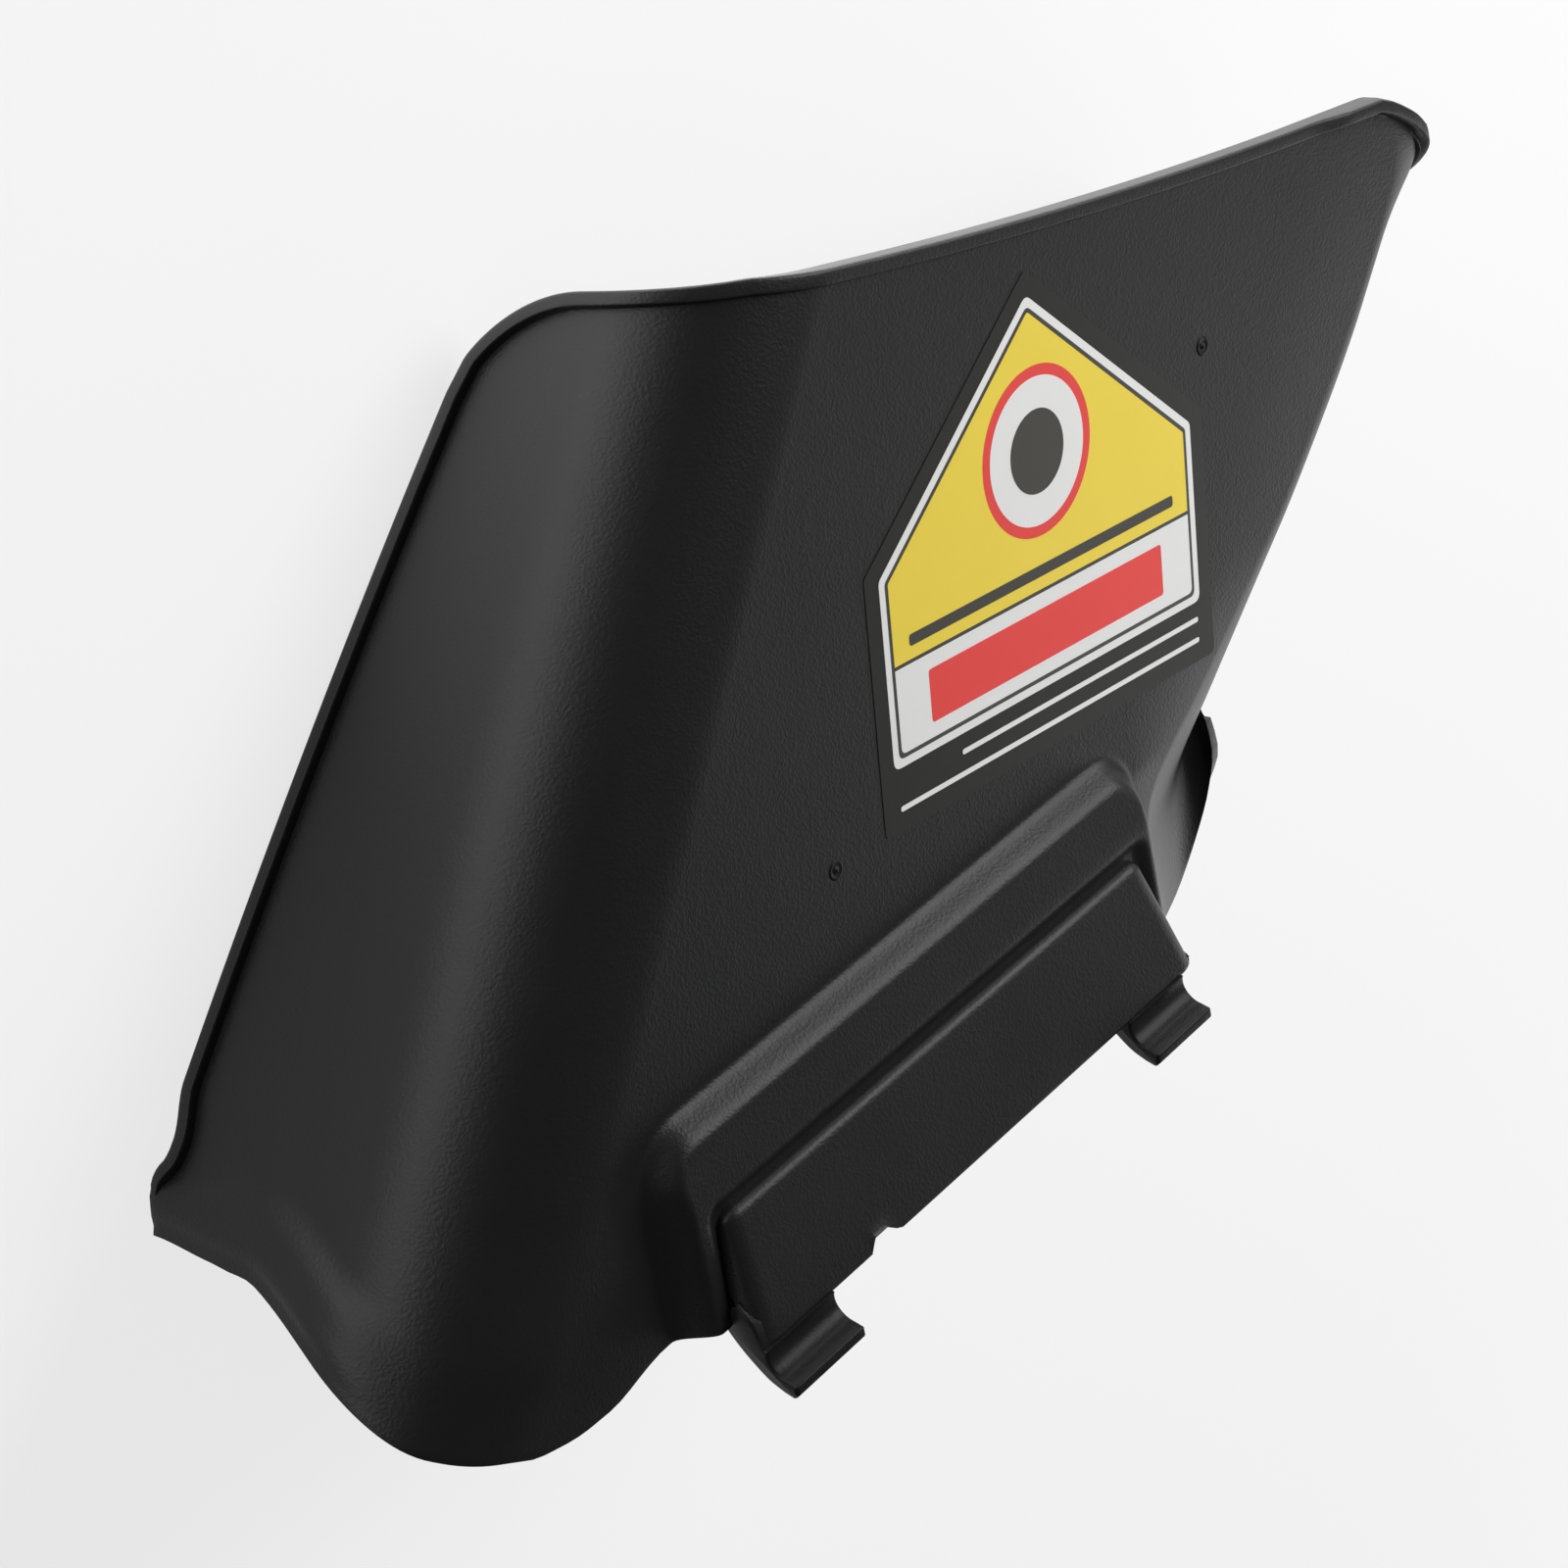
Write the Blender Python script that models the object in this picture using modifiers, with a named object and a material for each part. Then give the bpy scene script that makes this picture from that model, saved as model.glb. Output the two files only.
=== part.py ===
"""Side discharge chute for a walk-behind mower, one moulding with a plain printed film stuck on.

Work axes in millimetres: h runs along the hinge axis toward the far wall, w runs outboard
from the hinge to the discharge edge, n stands up from the flat main face.  The finished part
is pitched so that the free rims of both walls lie in the plane z = 0.
Row axes in metres: +X outboard, +Y toward the near wall, +Z up.
"""
import bpy
import bmesh
import numpy as np
from math import radians, sin, cos, atan

MM = 0.001

# channel and near wall
SKEW = radians(52.0)            # channel direction, measured from the hinge axis
BEND_PAST = 2.94                # the near bend starts this far past the near corner of the shoulder
BEND_R = 32.0                   # outer radius of the near bend
BEND_SWEEP = radians(86.0)      # the near wall keeps four degrees of draft
WALL = 2.7                      # wall of the moulding
RIM_LEVEL = -73.4               # rim plane: n at w = 0
RIM_SLOPE = 0.21                # rim plane: rise of n for each millimetre outboard
RIM_BOW = 1.3                   # the near rim bows down by this much
BOW_FROM, BOW_TO = 22.7, -112.0
CORNER_R = 27.0                 # rounded free corners at the discharge edge

# hinge end outline
HINGE_LINE = -67.0              # hinge-side edge of the flat face
TONGUE_TIP = -166.0             # lowest point of the near tongue along the channel
TONGUE_MID = 20.0               # its place across the bend
TONGUE_R = 60.0                 # roundness of the tongue
EAR_RISE = 24.2                 # step from the tongue up to the straight ear
EAR_FROM = 22.0
EAR_SPAN = 56.0
EAR_SAG = 1.4
FLARE = 2.2                     # the ear stands out from the wall by this much
FLARE_START = 20.0              # distance of the step from the hinge end
FLARE_WIDTH = 8.0
EDGE_STRIP = 5.0                # the flare falls back over this strip beside the hinge end
EDGE_FALL = 1.3
EAR_CORNER = -141.8             # channel position of the ear's corner
EAR_SWELL = 1.9                 # the rim draws in and swells by about this much ahead of the corner

# discharge edge in plan: w falls steadily toward the far side, along a shallow hollow curve
DIS_W = 98.25
DIS_FALL = 0.2583
DIS_HOLLOW = 0.000307
EDGE_DRAW = 0.105               # the edge draws back by this share of the way round the near bend
DRAW_FROM = 17.0

# bulge of the near tongue past the hinge line
TONGUE_BULGE = 3.7
BULGE_PAST, BULGE_SPAN = 0.5, 45.0
DIP_PAST, DIP_W = 3.5, -63.0    # point in plan on the crease beyond which the tongue dips
DIP_TURN = radians(24.4)
DIP_SLOPE = 0.10

# far side
FAR_R = 8.0                     # far bend radius
FAR_SWEEP = radians(80.0)
FAR_EAR = (74.0, -28.0)         # hinge-end corner of the far rim in plan
FAR_CORNER = 135.0              # where the discharge edge turns down into the far wall, along h
FAR_TOE = (-3.0, -39.4)         # discharge end of the far rim in plan, from that corner
CREASE_W = (-67.0, -52.0, -46.0, -42.0, -38.5, -34.5, -29.5, -25.0, -17.0, -9.0, -1.0, 8.0, 17.0, 26.0)
CREASE_H = (22.0, 21.6, 21.8, 22.8, 25.5, 31.0, 40.2, 48.0, 60.3, 72.3, 84.0, 95.4, 106.5, 116.6)
CREASE_TAIL = ((-3.3, -27.4), (1.1, -22.9), (5.0, -16.9), (6.0, -10.4), (4.0, -4.4), (0.0, 0.0))
EDGE_FAR = ((0.0, 0.0, 0.0), (7.8, -4.7, -0.6), (14.8, -10.1, -1.3), (18.9, -15.2, -2.8),
            (20.2, -19.3, -5.2), (20.0, -23.0, -8.6), (17.5, -26.8, -14.5), (12.5, -30.4, -26.0),
            (6.0, -34.4, -45.0))
EDGE_SHARE = 0.17               # share of the far edge over which the wall runs into that outline
FAR_OUT = (0.62, -0.78)         # direction in plan that faces out of the far wall
TONGUE_FAR = ((22.0, -67.0, 0.0), (31.0, -77.0, -8.0), (43.0, -84.0, -16.0), (53.5, -84.0, -20.0),
              (60.0, -75.5, -18.8), (62.6, -63.0, -15.0), (62.6, -53.0, -12.6), (63.0, -44.0, -14.0),
              (65.5, -36.0, -23.0), (69.5, -30.5, -42.0),
              (FAR_EAR[0], FAR_EAR[1], RIM_LEVEL + RIM_SLOPE * FAR_EAR[1]))
TONGUE_SHARE = 0.5              # share of the far edge over which the tongue runs into the wall

# lip round the free edges
LIP_W = 2.8
LIP_H = 2.3
LIP_LOW = 1.0                   # height of the lip along the discharge edge
LOW_FROM = -76.0                # the lip starts to get lower here along h
LIP_BEAD = 0.35                 # the bead wraps the edge of the wall by this much

# ends of the hinge block, and of what stands round it, along the hinge axis
BLK_NEAR, BLK_FAR = -127.5, 8.0     # at the upper edge of the plate
SPLAY_NEAR, SPLAY_FAR = 3.5, 5.0    # how far the ends splay out by the lower edge of the plate
SH_PAST_NEAR, SH_PAST_FAR = 13.0, 11.5
SH_NEAR, SH_FAR = BLK_NEAR - SH_PAST_NEAR, BLK_FAR + SH_PAST_FAR

# shoulder round the hinge block
SH_TOP = -22.5                  # foot of the shoulder outboard
BEND_LINE = BEND_PAST + SH_TOP * cos(SKEW) - SH_NEAR * sin(SKEW)
SH_CORNER = 13.0
SH_STEP = 5.0                   # height of the step
SH_STEP_W = 6.5                 # width of the step
SH_RISE = 2.2                   # further rise toward the block
VALLEY = 1.6                    # depth of the valley round the block

# hinge block
BLK_TOP_W, BLK_TOP_N = -44.5, 8.2   # upper edge of the plate
BLK_LOW_W, BLK_LOW_N = -71.5, 14.2  # lower edge of the plate
BLK_SKIN = 3.0                  # roof over the pocket, which opens toward the hinge
POCKET_W = -53.7
POCKET_FLOOR = 0.55
ROUND = 1.8

# hooks on the hinge axis
ROD_W, ROD_N = -72.7, 18.6      # centre of the rod seat
ROD_R = 4.4
HOOK_BACK = ((-5.2, 1.6), (-7.0, 1.6), (-8.2, 0.6), (-7.4, -2.0), (-5.7, -5.2), (-3.0, -8.2), (0.1, -11.0),
             (3.5, -13.4))      # tip and back of a hook, from the rod centre
HOOK_W = 20.0
HOOKS = ((BLK_NEAR - 3.0, BLK_NEAR - 3.0 + HOOK_W + 0.5), (BLK_FAR + 0.5 - HOOK_W, BLK_FAR))
NOTCH_FLOOR = (-96.0, -92.2)     # small notch in the lower edge of the plate
NOTCH_MOUTH = (-97.8, -86.9)
NOTCH_DEPTH = 3.1

# label film
FILM_T = 0.3
FILM_GAP = 0.3
LABEL_TURN = radians(8.5)       # the label is turned against the hinge axis
LABEL_W = 102.0
LABEL_SIDE = 38.8
LABEL_APEX = 41.9
FILM_MARGIN = 4.2
FILM_FOOT = 13.0

PITCH = atan(RIM_SLOPE)

RUN = np.array([cos(SKEW), sin(SKEW), 0.0])
OUT = np.array([-sin(SKEW), cos(SKEW), 0.0])
UP = np.array([0.0, 0.0, 1.0])
BEND_LEN = BEND_R * BEND_SWEEP


def smooth(x):
    """Zero to one with level ends."""
    x = np.clip(x, 0.0, 1.0)
    return x * x * (3.0 - 2.0 * x)


def near(s, t):
    """Point of the near side: s along the section from the bend line, t along the channel."""
    s, t = np.broadcast_arrays(np.asarray(s, float), np.asarray(t, float))
    a = np.clip(s / BEND_R, 0.0, BEND_SWEEP)
    r = np.maximum(s - BEND_LEN, 0.0)
    e = BEND_LINE + np.minimum(s, 0.0) + BEND_R * np.sin(a) + r * cos(BEND_SWEEP)
    n = -BEND_R * (1.0 - np.cos(a)) - r * sin(BEND_SWEEP)
    return t[..., None] * RUN + e[..., None] * OUT + n[..., None] * UP


def rim_s(t):
    """Section length at which the near wall meets the rim plane."""
    p = near(BEND_LEN, t)
    gap = p[..., 2] - RIM_LEVEL - RIM_SLOPE * p[..., 1]
    x = np.clip((BOW_FROM - t) / (BOW_FROM - BOW_TO), 0.0, 1.0)
    back = EAR_CORNER - t
    swell = (0.5 * smooth((back + 15.3) / 5.0) - 1.45 * smooth((back + 29.8) / 12.0)
             - 2.3 * smooth((back + 8.8) / 8.0))
    fall = BEND_LEN + gap / (sin(BEND_SWEEP) + RIM_SLOPE * cos(BEND_SWEEP) * OUT[1])
    return fall + 4.0 * RIM_BOW * x * (1.0 - x) + EAR_SWELL * swell


def end_t(s):
    """Hinge end outline of the near side: a straight ear, then a round tongue."""
    x = np.clip(TONGUE_MID - s, 0.0, 0.95 * TONGUE_R)
    tongue = TONGUE_R - np.sqrt(TONGUE_R ** 2 - x ** 2)
    sag = EAR_SAG * smooth((s - 66.0) / 8.0) * smooth((92.0 - s) / 17.0)
    return TONGUE_TIP + tongue + EAR_RISE * smooth((s - EAR_FROM) / EAR_SPAN) - sag


def discharge_w(h):
    """Discharge edge in plan."""
    return DIS_W - DIS_FALL * h + DIS_HOLLOW * h ** 2


def discharge_t(s):
    """Channel position at which the near side meets the discharge edge."""
    p = near(s, 0.0)
    t = (DIS_W - p[..., 1]) / RUN[1]
    for _ in range(12):
        t = (discharge_w(p[..., 0] + t * RUN[0]) - p[..., 1]) / RUN[1]
    return t - EDGE_DRAW * np.maximum(s - DRAW_FROM, 0.0)


def out_t(s):
    """Discharge edge of the near side with its rounded free corner."""
    edge = discharge_t(s)
    rim = rim_s(discharge_t(np.array(BEND_LEN)) - 1.2 * CORNER_R)
    x = np.clip(s - (rim - CORNER_R), 0.0, CORNER_R)
    return edge - CORNER_R + np.sqrt(np.maximum(CORNER_R ** 2 - x ** 2, 0.0))


def far_corner():
    """Corner at which the discharge edge turns down into the far wall, in plan."""
    return np.array([FAR_CORNER, float(discharge_w(FAR_CORNER))])


def crease_h(w):
    """Edge of the flat face toward the far wall."""
    tail = far_corner() + np.array(CREASE_TAIL)
    keep = [k for k in range(len(CREASE_W)) if CREASE_W[k] < tail[0, 1] - 4.0]
    line = np.concatenate([np.c_[CREASE_H, CREASE_W][keep], tail])
    return np.interp(w, line[:, 1], line[:, 0])


def spline(points, x):
    """Catmull-Rom curve through the points, x from 0 to 1 by chord length."""
    p = np.array(points, float)
    chord = np.r_[0.0, np.cumsum(np.linalg.norm(np.diff(p, axis=0), axis=1))]
    chord /= chord[-1]
    x = np.atleast_1d(x)
    i = np.clip(np.searchsorted(chord, x, side="right") - 1, 0, len(p) - 2)
    span = chord[i + 1] - chord[i]
    f = ((x - chord[i]) / span)[:, None]
    slope = np.gradient(p, chord, axis=0)
    m0, m1 = slope[i] * span[:, None], slope[i + 1] * span[:, None]
    return ((2 * f ** 3 - 3 * f ** 2 + 1) * p[i] + (f ** 3 - 2 * f ** 2 + f) * m0
            + (-2 * f ** 3 + 3 * f ** 2) * p[i + 1] + (f ** 3 - f ** 2) * m1)


def flare(s, t):
    """How far the ear stands out from the wall near the hinge end."""
    start = FLARE_START - 5.0 * smooth((s - 70.0) / 20.0)
    back = t - end_t(s)
    step = smooth((start - back) / FLARE_WIDTH)
    return (FLARE * step - EDGE_FALL * smooth((EDGE_STRIP - back) / 3.5)) * smooth((s - 30.0) / 25.0)


def shoulder(h, w):
    """Height of the raised shoulder above the flat face."""
    mid = 0.5 * (SH_NEAR + SH_FAR)
    half = 0.5 * (SH_FAR - SH_NEAR)
    dx = np.abs(h - mid) - (half - SH_CORNER)
    dy = w - (SH_TOP - SH_CORNER)
    outside = np.hypot(np.maximum(dx, 0.0), np.maximum(dy, 0.0)) + np.minimum(np.maximum(dx, dy), 0.0)
    inset = SH_CORNER - outside
    height = SH_STEP * smooth(inset / SH_STEP_W)
    height += SH_RISE * smooth(inset / SH_STEP_W) * smooth((SH_TOP - 4.0 - w) / 14.0)
    bx = np.maximum(BLK_NEAR - h, h - BLK_FAR)
    by = w - BLK_TOP_W
    block = np.hypot(np.maximum(bx, 0.0), np.maximum(by, 0.0)) + np.minimum(np.maximum(bx, by), 0.0)
    height -= VALLEY * smooth((4.5 - block) / 4.0) * smooth(inset / SH_STEP_W)
    return height * (1.0 - smooth((-block - 1.0) / 7.5))


def bulge(h, w):
    """Outward shift of the near tongue's edge between the bend line and the shoulder."""
    past = SH_NEAR - BULGE_PAST - h
    along = smooth((BULGE_SPAN - past) / 22.0) * smooth(past / 18.0)
    return TONGUE_BULGE * along * (1.0 - smooth((w - HINGE_LINE) / 14.0))


def tongue_dip(h, w):
    """The near tongue dips a little beyond a crease that starts at the shoulder."""
    d = (SH_NEAR + DIP_PAST - h) * sin(DIP_TURN) + (DIP_W - w) * cos(DIP_TURN)
    return DIP_SLOPE * np.maximum(d, 0.0) * smooth(d / 10.0)


HINGE_ROWS = (0.0, 3.5, 7.0, 9.5, 12.0, 15.0, 19.0, 22.0, 25.0, 29.0)
SHOULDER_ROWS = (-11.0, -8.0, -6.2, -4.6, -3.0, -1.4, 0.2, 2.5)
ROW_W = tuple(HINGE_LINE + d for d in HINGE_ROWS) + tuple(SH_TOP + d for d in SHOULDER_ROWS)
ROW_T = (0.06, 0.13, 0.22, 0.33, 0.45, 0.58, 0.70, 0.80, 0.88, 0.94, 0.975, 1.0)
WALL_Q = (1.0, 0.74, 0.48, 0.24)
BEND_STEPS = 9
END_HOLD, END_FADE = 25.0, 60.0     # rows follow the hinge end outline over this much, then less
EDGE_REACH = 100.0                  # rows follow the discharge edge within this distance of it
FLAT_NEAR = (0.2, 0.4, 0.6, 0.8)
FLAT_DENSE_NEAR = tuple(SH_NEAR + d for d in (-0.5, 1.0, 2.5, 4.0, 5.5, 7.2, 9.6)) + (BLK_NEAR + 0.5,)
FLAT_MID = (-112.0, -90.0, -62.0, -34.0, -10.0)
FLAT_DENSE_FAR = (BLK_FAR - 1.0,) + tuple(SH_FAR - d for d in (9.5, 7.2, 5.5, 4.0, 2.5, 1.0, 0.3))
FAR_BEND_STEPS = 8
BEND_SHARE = 0.28               # share of an end outline that the bend takes
FAR_WALL_Q = (0.1, 0.2, 0.3, 0.41, 0.53, 0.67, 0.83, 1.0)


def shell_grid():
    """Outer surface of the shell as a grid: columns from the near rim to the far rim, rows
    from the hinge end to the discharge edge."""
    line_t = lambda w: (w - BEND_LINE * OUT[1]) / RUN[1]
    t_low = line_t(np.array(ROW_W))
    t_end = float(discharge_t(np.array(0.0)))
    t_high = t_low[-1] + (t_end - t_low[-1]) * np.array(ROW_T)
    level = np.r_[t_low, t_high]
    rows = len(level)
    travel = level - level[0]
    hold = 1.0 - smooth((travel - END_HOLD) / END_FADE)
    reach = smooth((level - level[-1] + EDGE_REACH) / EDGE_REACH)
    columns = []

    def near_column(section):
        t = level.copy()
        s = section(t)
        for _ in range(6):
            s = section(t)
            t = level + (end_t(s) - level[0]) * hold + (out_t(s) - level[-1]) * reach
        return near(s, t), s, t

    def with_flare(p, s, t):
        a = np.clip(s / BEND_R, 0.0, BEND_SWEEP)
        normal = np.sin(a)[:, None] * OUT + np.cos(a)[:, None] * UP
        p = p + flare(s, t)[:, None] * normal
        p[:, 2] -= tongue_dip(p[:, 0], p[:, 1]) * (1.0 - smooth(s / 40.0))
        return p

    for q in WALL_Q:
        columns.append(with_flare(*near_column(lambda t: BEND_LEN + (rim_s(t) - BEND_LEN) * q)))
    for k in range(round(BEND_STEPS), -1, -1):
        s0 = BEND_LEN * k / BEND_STEPS
        columns.append(with_flare(*near_column(lambda t: np.full(rows, s0))))

    # flat face between the bend line and the far crease
    low = len(ROW_W)
    tau = np.array(ROW_T)
    w_far = np.r_[np.array(ROW_W), ROW_W[-1] + (far_corner()[1] - ROW_W[-1]) * tau]
    crease = np.c_[crease_h(w_far), w_far]
    left = near(0.0, level)[:, :2]
    left[0, 1] = HINGE_LINE
    inner = list(FLAT_DENSE_NEAR) + list(FLAT_MID) + list(FLAT_DENSE_FAR)
    places = []
    for f in FLAT_NEAR:
        places.append(("gap", f))
    for h in inner:
        places.append(("fix", h))
    for kind, value in places:
        col = np.zeros((rows, 3))
        for r in range(rows):
            l, c = left[r], crease[r]
            rr = min(r, low - 1)
            lo_l, lo_c = left[rr], crease[rr]
            if kind == "gap":
                h = lo_l[0] + (FLAT_DENSE_NEAR[0] - lo_l[0]) * value
            else:
                h = value
            x = (h - lo_l[0]) / (lo_c[0] - lo_l[0])
            col[r, :2] = l + (c - l) * x
        col[-1, 1] = discharge_w(col[-1, 0])
        chord = (crease[-1, 1] - left[-1, 1]) / (crease[-1, 0] - left[-1, 0])
        col[-2, 1] += 0.6 * (col[-1, 1] - left[-1, 1] - chord * (col[-1, 0] - left[-1, 0]))
        col[:, 2] = -tongue_dip(col[:, 0], col[:, 1]) * smooth((SH_NEAR + 2.0 * DIP_PAST - col[:, 0]) / 6.0)
        columns.append(col)

    # far side: bend and wall under the crease, drawn out to the far tongue at the hinge end
    along = np.r_[0.0, np.cumsum(np.linalg.norm(np.diff(crease, axis=0), axis=1))]
    along /= along[-1]
    toe, ear = far_corner() + np.array(FAR_TOE), np.array(FAR_EAR)
    outward = np.array([*FAR_OUT, 0.0])

    def crease_point(g):
        return np.stack([np.interp(g, along, crease[:, 0]), np.interp(g, along, crease[:, 1]),
                         np.zeros(np.shape(g))], -1)

    def rim_point(g):
        plan = ear + (toe - ear) * np.asarray(g)[..., None]
        return np.concatenate([plan, RIM_LEVEL + RIM_SLOPE * plan[..., 1:]], -1)

    def far_section(kind, q, g):
        a = FAR_SWEEP * (q if kind == "bend" else 1.0)
        bend = crease_point(g) + FAR_R * sin(a) * outward - FAR_R * (1.0 - cos(a)) * UP
        return bend if kind == "bend" else bend + (rim_point(g) - bend) * q

    corner = np.array([*far_corner(), 0.0])
    toe_point = np.array([*toe, RIM_LEVEL + RIM_SLOPE * toe[1]])
    edge_far = np.array([corner + np.array(p) for p in EDGE_FAR] + [toe_point])
    for kind, q in ([("bend", k / FAR_BEND_STEPS) for k in range(round(FAR_BEND_STEPS) + 1)]
                    + [("wall", q) for q in FAR_WALL_Q]):
        x = BEND_SHARE * q if kind == "bend" else BEND_SHARE + (1.0 - BEND_SHARE) * q
        column = far_section(kind, q, along)
        for end, share, outline in ((0.0, TONGUE_SHARE, TONGUE_FAR), (1.0, EDGE_SHARE, edge_far)):
            join = np.array(abs(end - share))
            u = np.clip(np.abs(along - end) / share, 0.0, 1.0)[:, None]
            bow = crease_point(along) - (1.0 - u) * crease_point(np.array(end)) - u * crease_point(join)
            drawn = (1.0 - u) * spline(outline, x) + u * far_section(kind, q, join) + (1.0 - x) * bow
            column += (1.0 - u ** 3) * (drawn - column)
        columns.append(column)
    grid = np.array(columns)
    grid[..., 1] -= bulge(grid[..., 0], grid[..., 1])
    first = len(WALL_Q) + round(BEND_STEPS)
    flat = slice(first, first + len(places) + 2)
    grid[flat, :, 2] += shoulder(grid[flat, :, 0], grid[flat, :, 1])
    return grid


def to_row(p):
    """Work millimetres to row metres before the pitch: x outboard, y toward the near wall."""
    p = np.asarray(p, float)
    return np.stack([p[..., 1], -p[..., 0], p[..., 2] - RIM_LEVEL], -1) * MM


def new_object(name, collection, verts, faces):
    mesh = bpy.data.meshes.new(name)
    mesh.from_pydata([tuple(v) for v in verts], [], [tuple(f) for f in faces])
    mesh.validate()
    obj = bpy.data.objects.new(name, mesh)
    collection.objects.link(obj)
    bm = bmesh.new()
    bm.from_mesh(mesh)
    bmesh.ops.recalc_face_normals(bm, faces=bm.faces)
    bm.to_mesh(mesh)
    bm.free()
    return obj


def sheet(name, collection, grid):
    """Open surface over a grid of points."""
    cols, rows = grid.shape[:2]
    verts = to_row(grid.reshape(-1, 3))
    faces = []
    for i in range(cols - 1):
        for j in range(rows - 1):
            a = i * rows + j
            faces.append((a, a + rows, a + rows + 1, a + 1))
    mesh = bpy.data.meshes.new(name)
    mesh.from_pydata([tuple(v) for v in verts], [], faces)
    obj = bpy.data.objects.new(name, mesh)
    collection.objects.link(obj)
    return obj


def prism(name, collection, outline, h0, h1, splay=0.0, bevel=0.0, segments=2):
    """Closed prism along the hinge axis; the outline lists (w, n), and splay widens it with -w."""
    count = len(outline)
    verts = []
    for h, sign in ((h0, -1.0), (h1, 1.0)):
        for w, n in outline:
            verts.append((h + sign * splay * max(0.0, BLK_TOP_W - w), w, n))
    faces = [tuple(range(count)), tuple(range(2 * count - 1, count - 1, -1))]
    for i in range(count):
        j = (i + 1) % count
        faces.append((i, i + count, j + count, j))
    obj = new_object(name, collection, to_row(np.array(verts)), faces)
    if bevel:
        mod = obj.modifiers.new("edge round", "BEVEL")
        mod.width = bevel * MM
        mod.segments = segments
        mod.limit_method = "ANGLE"
        mod.angle_limit = radians(25.0)
    return obj


def boolean(obj, tool, operation):
    mod = obj.modifiers.new(tool.name, "BOOLEAN")
    mod.operation = operation
    mod.solver = "EXACT"
    mod.object = tool
    tool.hide_render = True
    tool.display_type = "WIRE"


def arc(cw, cn, r, a0, a1, steps):
    angles = [radians(a0 + (a1 - a0) * k / steps) for k in range(steps + 1)]
    return [(cw + r * cos(a), cn + r * sin(a)) for a in angles]


def lip_height(h, n):
    """Height of the lip: low along the discharge edge, full on both rims and round the corners."""
    low = (smooth((h - LOW_FROM) / 18.0) * smooth((FAR_CORNER - 10.0 - h) / 14.0)
           * smooth((n + 22.0) / 10.0))
    return LIP_H + (LIP_LOW - LIP_H) * low


def lip_solid(name, collection, grid):
    """Bar along the near rim, the discharge edge and the far rim, standing out from the wall."""
    cols, rows = grid.shape[:2]
    start = 1
    path = [(0, j) for j in range(start, rows)] + [(i, rows - 1) for i in range(1, cols)]
    path += [(cols - 1, j) for j in range(rows - 2, 3, -1)]
    du = np.gradient(grid, axis=0)
    dv = np.gradient(grid, axis=1)
    normal = np.cross(du, dv)
    normal /= np.linalg.norm(normal, axis=2)[..., None]
    middle = grid[cols // 2, rows // 2]
    if normal[cols // 2, rows // 2, 2] < 0:
        normal = -normal
    pts = np.array([grid[i, j] for i, j in path])
    nrm = np.array([normal[i, j] for i, j in path])
    keep = [0]
    for k in range(1, len(pts)):
        if np.linalg.norm(pts[k] - pts[keep[-1]]) > 1.5:
            keep.append(k)
    pts, nrm = pts[keep], nrm[keep]
    tan_ = np.gradient(pts, axis=0)
    tan_ /= np.linalg.norm(tan_, axis=1)[:, None]
    nrm -= (nrm * tan_).sum(1)[:, None] * tan_
    nrm /= np.linalg.norm(nrm, axis=1)[:, None]
    inward = np.cross(tan_, nrm)
    if ((middle - pts[len(pts) // 2]) * inward[len(pts) // 2]).sum() < 0:
        inward = -inward
    tall = lip_height(pts[:, 0], pts[:, 2])
    taper = np.ones(len(pts))
    taper[:3] = 0.3, 0.5, 0.8
    verts, faces = [], []
    for p, b, a, top, wide in zip(pts, nrm, inward, tall, taper * LIP_W):
        ring = ((-LIP_BEAD, -WALL - LIP_BEAD), (-LIP_BEAD, 0.7 * top), (0.1 * wide, top),
                (wide - 0.3 * top, top), (wide, 0.65 * top), (wide, -WALL - LIP_BEAD))
        for x, y in ring:
            verts.append(p + a * x + b * y)
    m = len(ring)
    for k in range(len(pts) - 1):
        for i in range(m):
            j = (i + 1) % m
            faces.append((k * m + i, k * m + j, (k + 1) * m + j, (k + 1) * m + i))
    faces.append(tuple(range(m)))
    faces.append(tuple(range((len(pts) - 1) * m + m - 1, (len(pts) - 1) * m - 1, -1)))
    return new_object(name, collection, to_row(np.array(verts)), faces)


def label_point(x, y, n):
    """Point on the flat face from label axes: x along its base, y toward its apex."""
    h = x * cos(LABEL_TURN) + y * sin(LABEL_TURN)
    w = y * cos(LABEL_TURN) - x * sin(LABEL_TURN)
    return (h, w, n)


def principled(name, colour, roughness, metallic=0.0):
    mat = bpy.data.materials.new(name)
    mat.use_nodes = True
    shader = mat.node_tree.nodes["Principled BSDF"]
    shader.inputs["Base Color"].default_value = (*colour, 1.0)
    shader.inputs["Roughness"].default_value = roughness
    shader.inputs["Metallic"].default_value = metallic
    mat.diffuse_color = (*colour, 1.0)
    return mat


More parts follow.
